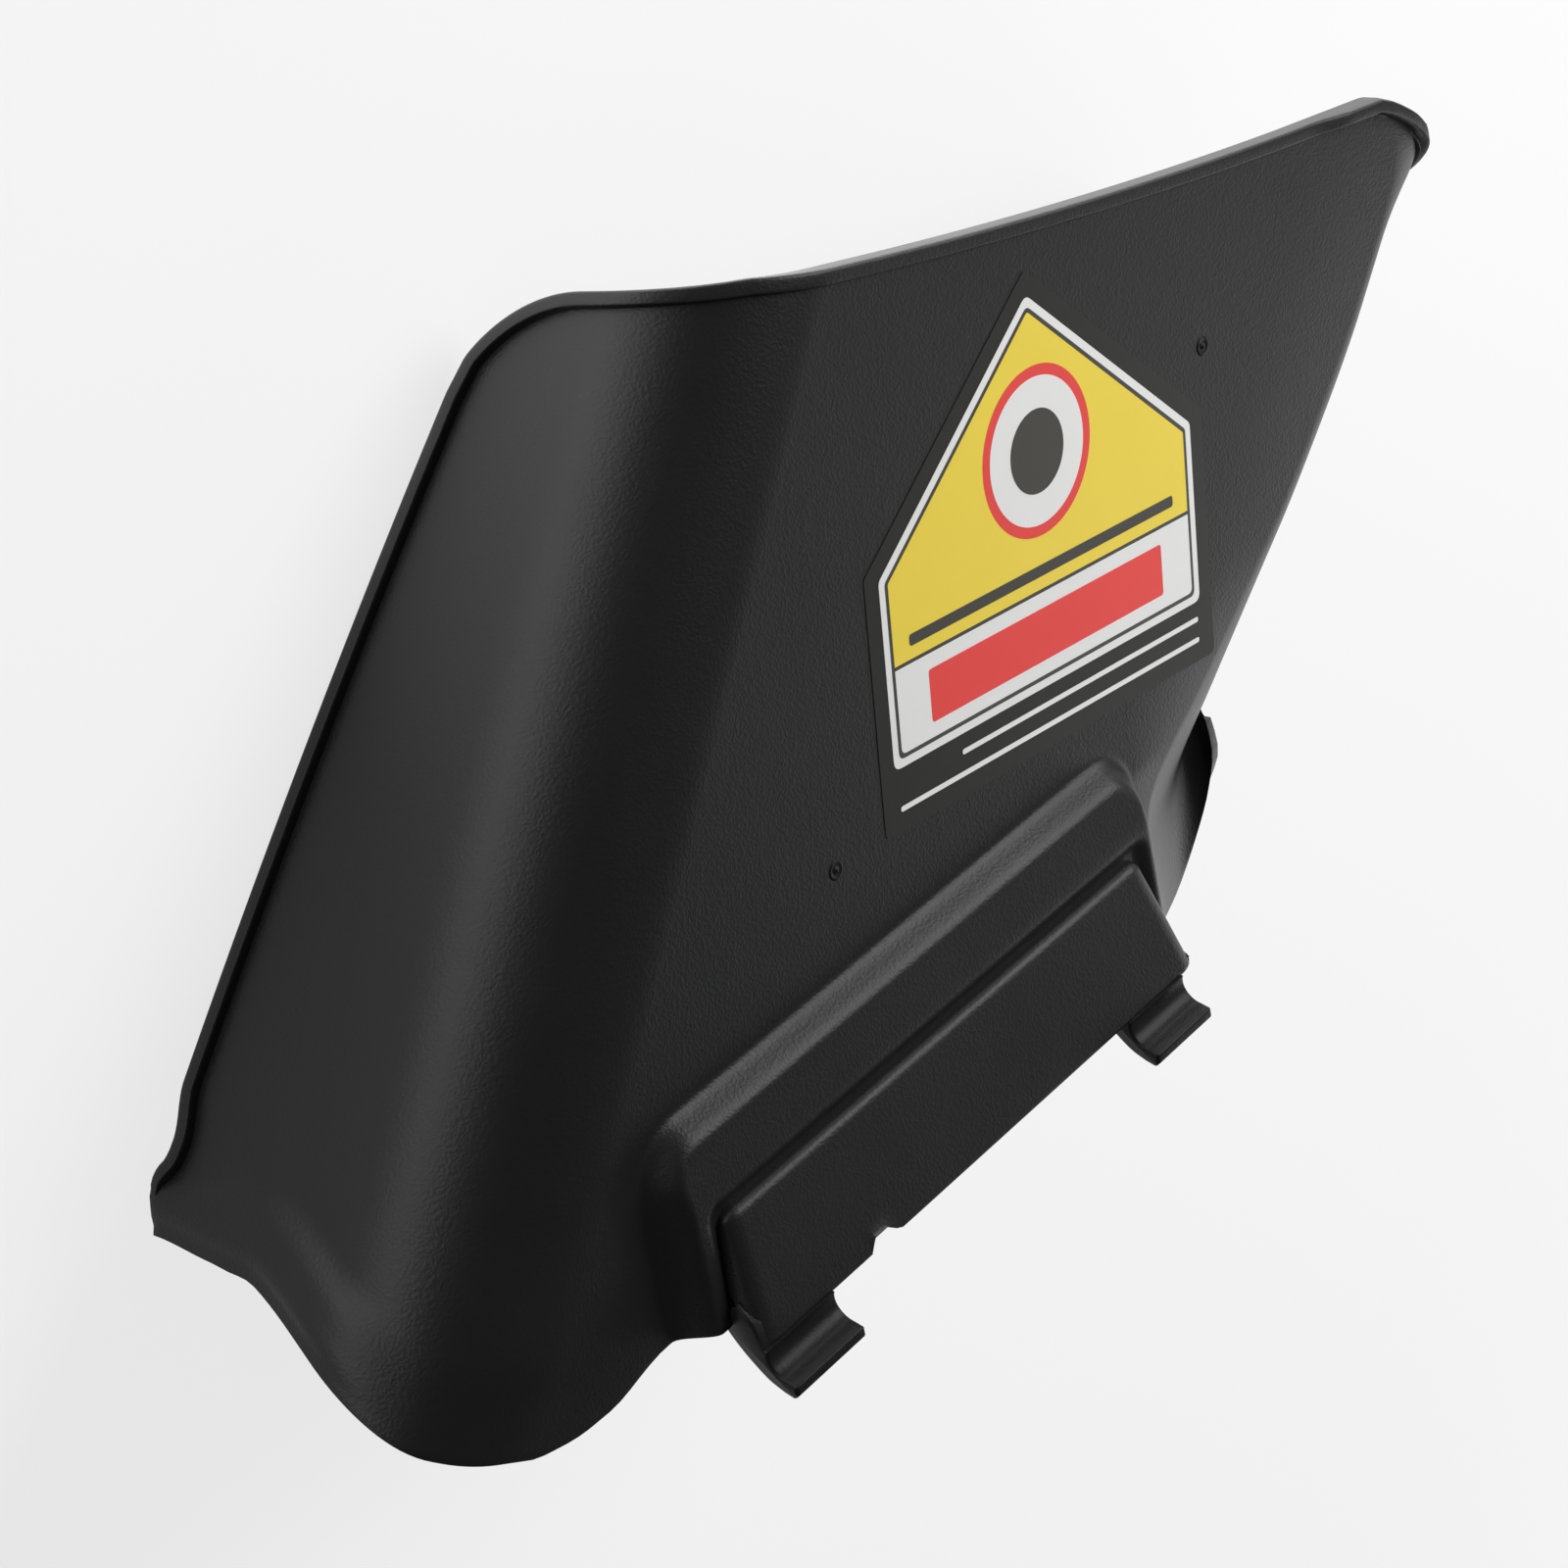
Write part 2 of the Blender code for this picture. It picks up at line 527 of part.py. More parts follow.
def build():
    for obj in list(bpy.data.objects):
        bpy.data.objects.remove(obj, do_unlink=True)
    scene = bpy.context.scene
    parts = bpy.data.collections.new("side_discharge_chute")
    joins = bpy.data.collections.new("joined_solids")
    cutters = bpy.data.collections.new("cutters")
    for group in (parts, joins, cutters):
        scene.collection.children.link(group)
    frame = bpy.data.objects.new("pitched_frame", None)
    parts.objects.link(frame)
    frame.rotation_euler = (0.0, PITCH, 0.0)

    grid = shell_grid()
    body = sheet("chute_body", parts, grid)
    wall = body.modifiers.new("wall", "SOLIDIFY")
    wall.thickness = WALL * MM
    wall.offset = -1.0

    splay = 0.5 * (SPLAY_NEAR + SPLAY_FAR) / (BLK_TOP_W - BLK_LOW_W)
    foot_n = 1.4 - WALL
    plate = [(BLK_TOP_W + 1.4, 0.9), (BLK_TOP_W, BLK_TOP_N), (BLK_LOW_W, BLK_LOW_N),
             (BLK_LOW_W - 0.6, BLK_LOW_N - 2.6), (BLK_LOW_W + 2.5, BLK_LOW_N - 5.6),
             (BLK_LOW_W + 5.5, BLK_LOW_N - 9.2), (HINGE_LINE + 2.4, foot_n), (BLK_TOP_W - 9.0, foot_n)]
    block = prism("hinge_block", joins, plate, BLK_NEAR, BLK_FAR, splay, ROUND, 3)
    boolean(body, block, "UNION")

    hook_outline = ([(BLK_LOW_W + 5.5, BLK_LOW_N - 10.8), (BLK_LOW_W + 9.5, BLK_LOW_N - 5.2),
                     (BLK_LOW_W + 5.5, BLK_LOW_N - 1.8), (BLK_LOW_W + 0.4, BLK_LOW_N - 0.6)]
                    + arc(ROD_W, ROD_N, ROD_R, -70.0, -172.0, 8)
                    + [(ROD_W + dw, ROD_N + dn) for dw, dn in HOOK_BACK])
    for k, (h0, h1) in enumerate(HOOKS):
        hook = prism("hook_%d" % (k + 1), joins, hook_outline, h0, h1)
        boolean(body, hook, "UNION")

    roof = (BLK_LOW_N - BLK_TOP_N) / (BLK_TOP_W - BLK_LOW_W)
    pocket = [(POCKET_W, POCKET_FLOOR), (POCKET_W, BLK_TOP_N + roof * (BLK_TOP_W - POCKET_W) - BLK_SKIN),
              (BLK_LOW_W + 3.3, BLK_LOW_N - roof * 3.3 - BLK_SKIN),
              (BLK_LOW_W - 18.0, BLK_LOW_N - BLK_SKIN - 0.4),
              (BLK_LOW_W - 18.0, POCKET_FLOOR)]
    hollow = prism("block_pocket", cutters, pocket, HOOKS[0][1] + 2.0, HOOKS[1][0] - 2.0)
    boolean(body, hollow, "DIFFERENCE")
    floor_w = BLK_LOW_W + NOTCH_DEPTH
    plan = [(NOTCH_FLOOR[0], floor_w), (NOTCH_FLOOR[1], floor_w), (NOTCH_MOUTH[1], BLK_LOW_W),
            (NOTCH_MOUTH[1], BLK_LOW_W - 6.0), (NOTCH_MOUTH[0], BLK_LOW_W - 6.0), (NOTCH_MOUTH[0], BLK_LOW_W)]
    verts = [(h, w, n) for n in (BLK_LOW_N - 7.0, BLK_LOW_N + 5.0) for h, w in plan]
    faces = [(5, 4, 3, 2, 1, 0), (6, 7, 8, 9, 10, 11)]
    faces += [(i, (i + 1) % 6, (i + 1) % 6 + 6, i + 6) for i in range(6)]
    notch = new_object("edge_notch", cutters, to_row(np.array(verts)), faces)
    boolean(body, notch, "DIFFERENCE")
    lip = lip_solid("rim_lip", joins, grid)
    boolean(body, lip, "UNION")

    half = 0.5 * LABEL_W + FILM_MARGIN
    film = [(-half, -FILM_FOOT), (half, -FILM_FOOT), (half, LABEL_SIDE + 1.8),
            (0.0, LABEL_SIDE + LABEL_APEX + 5.0), (-half, LABEL_SIDE + 1.8)]
    verts = [label_point(x, y, n) for n in (FILM_GAP, FILM_GAP + FILM_T) for x, y in film]
    faces = [(4, 3, 2, 1, 0), (5, 6, 7, 8, 9)]
    faces += [(i, (i + 1) % 5, (i + 1) % 5 + 5, i + 5) for i in range(5)]
    label = new_object("label_film", parts, to_row(np.array(verts)), faces)

    body.data.materials.append(principled("black_plastic", (0.028, 0.028, 0.029), 0.55))
    label.data.materials.append(principled("printed_film", (0.78, 0.64, 0.10), 0.4))

    for obj in list(parts.objects) + list(joins.objects) + list(cutters.objects):
        if obj is not frame:
            obj.parent = frame
    bpy.context.view_layer.update()
    seen = body.evaluated_get(bpy.context.evaluated_depsgraph_get())
    points = np.array([seen.matrix_world @ v.co for v in seen.data.vertices])
    low, high = points.min(axis=0), points.max(axis=0)
    frame.location = (-0.5 * (low[0] + high[0]), -0.5 * (low[1] + high[1]), -low[2])
    bpy.context.view_layer.update()


build()
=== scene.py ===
"""Looks of the side discharge chute: a skewed black plastic duct with a printed film on its face.

Work axes in millimetres: h runs along the hinge axis toward the far wall, w runs outboard from
the hinge to the discharge edge, n stands up from the flat main face.  to_row carries them into
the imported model's frame in metres.
"""
from math import atan, cos, radians, sin

import bpy
import numpy as np
from mathutils import Matrix, Vector


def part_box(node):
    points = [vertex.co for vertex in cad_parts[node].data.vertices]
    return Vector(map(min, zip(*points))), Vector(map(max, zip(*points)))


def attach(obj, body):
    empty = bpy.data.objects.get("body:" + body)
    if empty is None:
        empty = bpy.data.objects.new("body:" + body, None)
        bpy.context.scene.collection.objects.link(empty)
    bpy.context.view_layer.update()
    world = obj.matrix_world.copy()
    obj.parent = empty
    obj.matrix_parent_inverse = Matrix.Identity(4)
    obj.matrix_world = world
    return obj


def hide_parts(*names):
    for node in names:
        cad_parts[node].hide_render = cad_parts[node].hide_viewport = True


MM = 0.001

# channel and near wall
SKEW = radians(52.0)
BEND_LINE = 99.8
BEND_R = 32.0
BEND_SWEEP = radians(86.0)
WALL = 2.7
RIM_LEVEL = -73.4
RIM_SLOPE = 0.21
RIM_BOW = 1.3
BOW_FROM, BOW_TO = 22.7, -112.0
CORNER_R = 27.0

# hinge end outline
HINGE_LINE = -67.0
TONGUE_TIP = -166.0
TONGUE_MID = 20.0
TONGUE_R = 60.0
EAR_RISE = 24.2
EAR_FROM = 22.0
EAR_SPAN = 56.0
EAR_SAG = 1.4
SAG_FROM, SAG_TO = 66.0, 92.0
FLARE = 2.2
FLARE_START = 20.0
FLARE_WIDTH = 8.0
FLARE_DRAW, FLARE_DRAW_FROM = 5.0, 70.0   # the flare gets narrower down the wall
FLARE_FROM, FLARE_GROWTH = 30.0, 25.0     # and grows out of the bend
EDGE_STRIP = 5.0
EDGE_FALL = 1.3
EAR_CORNER = -141.8
EAR_SWELL = 1.9
# steps of the rim at the ear, as height, distance before the corner and span
SWELL_STEPS = ((0.5, 15.3, 5.0), (-1.45, 29.8, 12.0), (-1.2, 8.8, 5.5), (-0.8, 3.5, 3.5))
TONGUE_BULGE = 3.7
BULGE_NEAR, BULGE_FAR = -186.0, -141.0
BULGE_DEEP = 14.0
DIP_AT = (-137.0, -63.0)        # a point of the tongue's slanting crease, as (h, w)
DIP_WAY = (0.414, 0.911)
DIP_SLOPE, DIP_EASE = 0.10, 10.0
DIP_FACE = -133.0               # the dip ends here on the flat face
END_HOLD, END_FADE = 25.0, 60.0   # the columns follow the hinge end this far, then less and less
EDGE_REACH = 100.0                # and the discharge edge over this length before it

# discharge edge in plan
DIS_W = 98.25
DIS_FALL = 0.2583
DIS_HOLLOW = 0.000307
EDGE_DRAW = 0.105
DRAW_FROM = 17.0

# far side
FAR_R = 8.0
FAR_SWEEP = radians(80.0)
FAR_EAR = (74.0, -28.0)
FAR_CORNER = 135.0
FAR_TOE = (-3.0, -39.4)
CREASE_EASE = 3.5               # half the span over which the crease is averaged
CREASE_W = (-67.0, -52.0, -46.0, -42.0, -38.5, -34.5, -29.5, -25.0, -17.0, -9.0, -1.0, 8.0,
            17.0, 26.0)
CREASE_H = (22.0, 21.6, 21.8, 22.8, 25.5, 31.0, 40.2, 48.0, 60.3, 72.3, 84.0, 95.4,
            106.5, 116.6)
CREASE_TAIL = ((-3.3, -27.4), (1.1, -22.9), (5.0, -16.9), (6.0, -10.4), (4.0, -4.4), (0.0, 0.0))
EDGE_FAR = ((0.0, 0.0, 0.0), (7.8, -4.7, -0.6), (14.8, -10.1, -1.3), (18.9, -15.2, -2.8),
            (20.2, -19.3, -5.2), (20.0, -23.0, -8.6), (17.5, -26.8, -14.5), (12.5, -30.4, -26.0),
            (6.0, -34.4, -45.0))
EDGE_SHARE = 0.17
FAR_OUT = (0.62, -0.78)
FAR_BEND_SHARE = 0.28           # share of the far outlines that lies in the bend
TONGUE_FAR = ((22.0, -67.0, 0.0), (31.0, -77.0, -8.0), (43.0, -84.0, -16.0), (53.5, -84.0, -20.0),
              (60.0, -75.5, -18.8), (62.6, -63.0, -15.0), (62.6, -53.0, -12.6), (63.0, -44.0, -14.0),
              (65.5, -36.0, -23.0), (69.5, -30.5, -42.0))
TONGUE_SHARE = 0.5

# spacing of the grid's rows and columns, and the round given to the shell's edges
ROW_FINE, ROW_COARSE = 0.7, 1.4
ARC_STEP = 1.7
EDGE_ROUND = 0.5

# lip round the free edges
LIP_W = 2.8
LIP_H = 2.3
LIP_LOW = 1.0
LIP_BEAD = 0.35
LIP_START, LIP_END = -66.0, -55.0
LIP_FADE = (2.0, 12.0)          # the lip grows between these distances from its start
LIP_CORE = (0.8, -0.5 * WALL)   # where it shrinks to, inside the wall
LIP_LEAST = 0.1
LIP_STEP = 1.3
LOW_FROM, LOW_SPAN = -76.0, 18.0

# shoulder round the hinge block
SH_NEAR, SH_FAR = -140.5, 19.5
SH_TOP = -22.5
SH_CORNER = 13.0
SH_STEP = 5.0
SH_STEP_W = 6.5
SH_RISE, SH_RISE_W = 2.2, 14.0
VALLEY, VALLEY_OUT = 1.6, 4.5
SH_FADE = 7.5                   # the shoulder ends this far inside the block

# hinge block
BLK_NEAR, BLK_FAR = -127.5, 8.0
BLK_NEAR_LOW, BLK_FAR_LOW = -131.0, 13.0
BLK_TOP_W, BLK_TOP_N = -44.5, 8.2
BLK_LOW_W, BLK_LOW_N = -71.5, 14.2
BLK_SKIN = 3.0
BLK_FOOT = (BLK_TOP_W - 9.0, -1.3)     # its foot is sunk into the face
POCKET = (-108.0, -13.5)
POCKET_W = -53.7
POCKET_FLOOR = 0.55
BLK_END_ROUND = 4.0
SPLAY_REACH = 18.0
STATION_GAP = 0.02              # keeps two stations at one place apart

# hooks on the hinge axis
ROD_W, ROD_N = -72.7, 18.6
ROD_R = 4.4
HOOKS = ((-131.2, -110.0), (-11.5, 8.0))
HOOK_TIP = ((-77.7, 20.2), (-79.7, 20.2), (-80.9, 19.0), (-80.1, 16.6))
HOOK_BACK = ((-80.1, 16.6), (-78.4, 13.4), (-75.7, 10.4), (-72.6, 7.6), (-69.2, 5.2),
             (-66.0, 3.4))
HOOK_ROUND = 0.7
NOTCH_FLOOR = (-96.0, -92.2)
NOTCH_MOUTH = (-97.8, -86.9)
NOTCH_DEPTH = 3.1

# label film, in its own axes: x along its base, y toward its apex
FILM_T = 0.3
FILM_GAP = 0.3
LABEL_TURN = radians(8.5)
LABEL_W = 102.0
LABEL_SIDE = 38.8
LABEL_APEX = 41.9
FILM_MARGIN = 4.2
FILM_FOOT = 13.0
FILM_HALF = 0.5 * LABEL_W + FILM_MARGIN
FILM_EAVES = LABEL_SIDE + 1.8
FILM_EDGE = ((-FILM_HALF, -FILM_FOOT), (FILM_HALF, -FILM_FOOT), (FILM_HALF, FILM_EAVES),
             (0.0, LABEL_SIDE + LABEL_APEX + 5.0), (-FILM_HALF, FILM_EAVES))
PRINT_STEP = 0.03
SHOWN_LOW, SHOWN_TOP = -0.05, 0.12   # the film is shown lying on the face
KEYLINE_IN, FIELD_IN = 1.7, 2.6
DIVIDE, DIVIDE_HALF = 20.2, 0.4      # height of the line between band and gable
RING_AT = 48.9
RING_R, DISC_R, DOT_R = 17.4, 15.1, 8.6

# gate marks on the face, as (h, w)
GATES = ((64.4, 44.3), (-71.7, -2.4))

# camera, in work millimetres
CAMERA_AT = (-601.41, 428.52, 517.65)
CAMERA_AIM = (-42.96, -7.54, -37.31)
CAMERA_UP = (0.4835, 0.8554, -0.1856)
CAMERA_LENS = 103.37

# light
FLOOR_SIDE, FLOOR_LEVEL = 4.0, -0.0005
FLOOR_GLOW = 0.75
# the floor seen by mirror rays glows up to nine times white in a band along x: a painted reflection
# that puts a sheen on the near wall
FLOOR_SHEEN_TOP = 9.0
FLOOR_SHEEN_BAND = ((0.03, 0.14), (0.23, 1.0), (0.40, 1.0), (0.70, 0.1))   # x in metres, share of the top
WORLD_LEVEL = 0.13
LAMPS = (                       # name, direction, distance, size, watts for each square metre
    ("side_lamp", (0.52, -0.62, 0.58), 1.0, (0.6, 0.6), 28.5),
    ("back_lamp", (-0.45, -0.80, 0.40), 1.1, (0.5, 0.5), 7.0),
    ("low_lamp", (0.58, 0.74, 0.13), 1.0, (0.9, 0.26), 11.0),
    ("far_lamp", (-0.65, -0.76, 0.10), 1.0, (0.9, 0.2), 4.0),
)

PITCH = atan(RIM_SLOPE)
RUN = np.array([cos(SKEW), sin(SKEW), 0.0])
OUT = np.array([-sin(SKEW), cos(SKEW), 0.0])
UP = np.array([0.0, 0.0, 1.0])
BEND_LEN = BEND_R * BEND_SWEEP


def smooth(x):
    """Zero to one with level ends: x squared times three minus two x."""
    x = np.clip(x, 0.0, 1.0)
    return x * x * (3.0 - 2.0 * x)


def steps(start, end, size):
    """Even steps from start to end, none longer than size."""
    count = max(1, int(np.ceil(abs(end - start) / size)))
    return np.linspace(start, end, count + 1)


# the moulded shell

def near(s, t):
    """Point of the near side: a prism whose section is flat, then a circle arc of length s over
    radius BEND_R, then a straight wall; t runs along the channel."""
    s, t = np.broadcast_arrays(np.asarray(s, float), np.asarray(t, float))
    a = np.clip(s / BEND_R, 0.0, BEND_SWEEP)
    r = np.maximum(s - BEND_LEN, 0.0)
    e = BEND_LINE + np.minimum(s, 0.0) + BEND_R * np.sin(a) + r * cos(BEND_SWEEP)
    n = -BEND_R * (1.0 - np.cos(a)) - r * sin(BEND_SWEEP)
    return t[..., None] * RUN + e[..., None] * OUT + n[..., None] * UP


def rim_s(t):
    """Section length at which the near wall meets the sloping rim plane, with a parabola as its bow
    and smooth steps as the swell at the ear."""
    p = near(BEND_LEN, t)
    gap = p[..., 2] - RIM_LEVEL - RIM_SLOPE * p[..., 1]
    x = np.clip((BOW_FROM - t) / (BOW_FROM - BOW_TO), 0.0, 1.0)
    back = EAR_CORNER - t
    swell = sum(height * smooth((back + start) / span) for height, start, span in SWELL_STEPS)
    fall = BEND_LEN + gap / (sin(BEND_SWEEP) + RIM_SLOPE * cos(BEND_SWEEP) * OUT[1])
    return fall + 4.0 * RIM_BOW * x * (1.0 - x) + EAR_SWELL * swell


def end_t(s):
    """Hinge end outline of the near side: a circle of radius TONGUE_R, then a smooth step up to
    the straight ear."""
    x = np.clip(TONGUE_MID - s, 0.0, 0.95 * TONGUE_R)
    tongue = TONGUE_R - np.sqrt(TONGUE_R ** 2 - x ** 2)
    sag = EAR_SAG * smooth((s - SAG_FROM) / 8.0) * smooth((SAG_TO - s) / 17.0)
    return TONGUE_TIP + tongue + EAR_RISE * smooth((s - EAR_FROM) / EAR_SPAN) - sag


def discharge_w(h):
    """Discharge edge in plan: a shallow parabola in h."""
    return DIS_W - DIS_FALL * h + DIS_HOLLOW * h ** 2


def discharge_t(s):
    """Channel position at which the near side meets the discharge edge, by repeated steps, less a
    share of the way round the bend."""
    p = near(s, 0.0)
    t = (DIS_W - p[..., 1]) / RUN[1]
    for _ in range(12):
        t = (discharge_w(p[..., 0] + t * RUN[0]) - p[..., 1]) / RUN[1]
    return t - EDGE_DRAW * np.maximum(s - DRAW_FROM, 0.0)


def out_t(s):
    """Discharge edge of the near side, drawn back along a quarter circle at its free corner."""
    edge = discharge_t(s)
    rim = rim_s(discharge_t(np.array(BEND_LEN)) - 1.2 * CORNER_R)
    x = np.clip(s - (rim - CORNER_R), 0.0, CORNER_R)
    return edge - CORNER_R + np.sqrt(np.maximum(CORNER_R ** 2 - x ** 2, 0.0))


def far_corner():
    """Corner at which the discharge edge turns down into the far wall, in plan."""
    return np.array([FAR_CORNER, float(discharge_w(FAR_CORNER))])


def crease_h(w):
    """Edge of the flat face toward the far wall: straight pieces, averaged over a short span."""
    tail = far_corner() + np.array(CREASE_TAIL)
    line_w, line_h = np.r_[CREASE_W, tail[:, 1]], np.r_[CREASE_H, tail[:, 0]]
    w = np.asarray(w)[..., None]
    spread = np.linspace(-CREASE_EASE, CREASE_EASE, 9) * smooth((line_w[-1] - w) / 5.0)
    return np.interp(w + spread, line_w, line_h).mean(-1)


def spline(points, x):
    """Catmull-Rom curve through the points, x from 0 to 1 by chord length."""
    p = np.array(points, float)
    chord = np.r_[0.0, np.cumsum(np.linalg.norm(np.diff(p, axis=0), axis=1))]
    chord /= chord[-1]
    x = np.atleast_1d(x)
    i = np.clip(np.searchsorted(chord, x, side="right") - 1, 0, len(p) - 2)
    span = (chord[i + 1] - chord[i])[:, None]
    f = (x - chord[i])[:, None] / span
    slope = np.gradient(p, chord, axis=0)
    return ((2 * f ** 3 - 3 * f ** 2 + 1) * p[i] + (f ** 3 - 2 * f ** 2 + f) * slope[i] * span
            + (3 * f ** 2 - 2 * f ** 3) * p[i + 1] + (f ** 3 - f ** 2) * slope[i + 1] * span)


def flare(s, t):
    """How far the ear stands out from the wall: a smooth step a fixed distance from the hinge end,
    less a fall beside the edge, fading out where the bend begins."""
    start = FLARE_START - FLARE_DRAW * smooth((s - FLARE_DRAW_FROM) / 20.0)
    back = t - end_t(s)
    out = FLARE * smooth((start - back) / FLARE_WIDTH)
    fall = EDGE_FALL * smooth((EDGE_STRIP - back) / 3.5)
    return (out - fall) * smooth((s - FLARE_FROM) / FLARE_GROWTH)


def rounded_distance(dx, dy):
    """Distance outside a quarter plane with dx and dy as its two face distances."""
    return np.hypot(np.maximum(dx, 0.0), np.maximum(dy, 0.0)) + np.minimum(np.maximum(dx, dy), 0.0)


def shoulder(h, w):
    """Height above the flat face: a smooth step inside a rounded rectangle, a slow rise toward the
    block, and a valley at a set distance round the block."""
    middle = 0.5 * (SH_NEAR + SH_FAR)
    half = 0.5 * (SH_FAR - SH_NEAR)
    corner = rounded_distance(np.abs(h - middle) - (half - SH_CORNER), w - (SH_TOP - SH_CORNER))
    inside = smooth((SH_CORNER - corner) / SH_STEP_W)
    height = SH_STEP * inside + SH_RISE * inside * smooth((SH_TOP - 4.0 - w) / SH_RISE_W)
    block = rounded_distance(np.maximum(BLK_NEAR - h, h - BLK_FAR), w - BLK_TOP_W)
    height -= VALLEY * smooth((VALLEY_OUT - block) / 4.0) * inside
    return height * (1.0 - smooth((-block - 1.0) / SH_FADE))


def bulge(h, w):
    """Outward shift of the near tongue's edge between the bend line and the shoulder, a smooth
    hump along h that fades with the distance from the hinge line."""
    along = smooth((h - BULGE_NEAR) / 22.0) * smooth((BULGE_FAR - h) / 18.0)
    return TONGUE_BULGE * along * (1.0 - smooth((w - HINGE_LINE) / BULGE_DEEP))


def tongue_dip(h, w):
    """Dip of the near tongue: distance past a slanting crease line times a small slope."""
    d = -DIP_WAY[0] * (h - DIP_AT[0]) - DIP_WAY[1] * (w - DIP_AT[1])
    return DIP_SLOPE * np.maximum(d, 0.0) * smooth(d / DIP_EASE)


def near_columns(level):
    """Near wall and bend as columns from the rim to the bend line, each row at its own level."""
    travel = level - level[0]
    hold = 1.0 - smooth((travel - END_HOLD) / END_FADE)
    reach = smooth((level - level[-1] + EDGE_REACH) / EDGE_REACH)
    wall = steps(1.0, 0.0, 0.05)[:-1]
    arc = steps(BEND_LEN, 0.0, ARC_STEP)
    base = np.r_[np.full(len(wall), BEND_LEN), arc][:, None]
    share = np.r_[wall, np.zeros(len(arc))][:, None]
    t = level + 0.0 * base
    for _ in range(8):
        s = base + share * (rim_s(t) - BEND_LEN)
        t = level + (end_t(s) - level[0]) * hold + (out_t(s) - level[-1]) * reach
    s = base + share * (rim_s(t) - BEND_LEN)
    a = np.clip(s / BEND_R, 0.0, BEND_SWEEP)[..., None]
    p = near(s, t) + flare(s, t)[..., None] * (np.sin(a) * OUT + np.cos(a) * UP)
    p[..., 2] -= tongue_dip(p[..., 0], p[..., 1]) * (1.0 - smooth(s / 40.0))
    return p


def flat_columns(left, crease, low, tau):
    """Flat face between the bend line and the far crease, with the shoulder standing on it."""
    rows = len(left)
    anchor = np.minimum(np.arange(rows), low - 1)
    start, end = left[anchor, 0], crease[anchor, 0]
    gap = steps(0.0, 1.0, 0.08)[1:-1]
    inner = np.r_[steps(SH_NEAR - 0.5, BLK_NEAR, ROW_FINE), steps(BLK_NEAR, BLK_FAR, 3.0)[1:-1],
                  steps(BLK_FAR, SH_FAR, ROW_FINE)]
    h = np.concatenate([start + (inner[0] - start) * gap[:, None], inner[:, None] + 0.0 * start])
    x = ((h - start) / (end - start))[..., None]
    p = left + (crease - left) * x
    crown = discharge_w(p[:, -1, 0]) - p[:, -1, 1]
    p[..., 1] += crown[:, None] * smooth((tau - 0.8) / 0.2)
    n = -tongue_dip(p[..., 0], p[..., 1]) * smooth((DIP_FACE - p[..., 0]) / 6.0)
    return np.concatenate([p, n[..., None]], -1)


def far_columns(crease):
    """Far bend and wall under the crease.  In between a column is a circle arc and a straight line
    to the rim; toward either end it blends into that end's drawn outline, with the crease's own bow
    added in proportion."""
    along = np.r_[0.0, np.cumsum(np.linalg.norm(np.diff(crease, axis=0), axis=1))]
    along /= along[-1]
    toe, ear = far_corner() + np.array(FAR_TOE), np.array(FAR_EAR)
    outward = np.array([*FAR_OUT, 0.0])

    def on_rim(plan):
        return np.concatenate([plan, RIM_LEVEL + RIM_SLOPE * plan[..., 1:]], -1)

    def crease_point(g):
        h, w = np.interp(g, along, crease[:, 0]), np.interp(g, along, crease[:, 1])
        return np.stack([h, w, 0.0 * g], -1)

    def section(turned, drop, g):
        a = (FAR_SWEEP * turned)[..., None]
        bend = crease_point(g) + FAR_R * np.sin(a) * outward - FAR_R * (1.0 - np.cos(a)) * UP
        return bend + (on_rim(ear + (toe - ear) * g[..., None]) - bend) * drop[..., None]

    tongue = np.array(TONGUE_FAR + (tuple(on_rim(ear)),))
    edge = np.array([*far_corner(), 0.0]) + np.array(EDGE_FAR)
    edge = np.concatenate([edge, on_rim(toe)[None]])
    arc, wall = steps(0.0, 1.0, 0.1)[1:], steps(0.0, 1.0, 0.03)[1:]
    turned = np.r_[arc, np.ones(len(wall))][:, None] + 0.0 * along
    drop = np.r_[np.zeros(len(arc)), wall][:, None] + 0.0 * along
    x = FAR_BEND_SHARE * turned[:, :1] + (1.0 - FAR_BEND_SHARE) * drop[:, :1]
    g = along + 0.0 * turned
    columns = section(turned, drop, g)
    for end, share, outline in ((0.0, TONGUE_SHARE, tongue), (1.0, EDGE_SHARE, edge)):
        u = np.clip(np.abs(g - end) / share, 0.0, 1.0)[..., None]
        join = np.full_like(g, abs(end - share))
        bow = crease_point(g) - (1.0 - u) * crease_point(0.0 * g + end) - u * crease_point(join)
        drawn = (1.0 - u) * spline(outline, x[:, 0])[:, None] + u * section(turned, drop, join)
        drawn += (1.0 - x)[..., None] * bow
        columns += (1.0 - u ** 3) * (drawn - columns)
    return columns


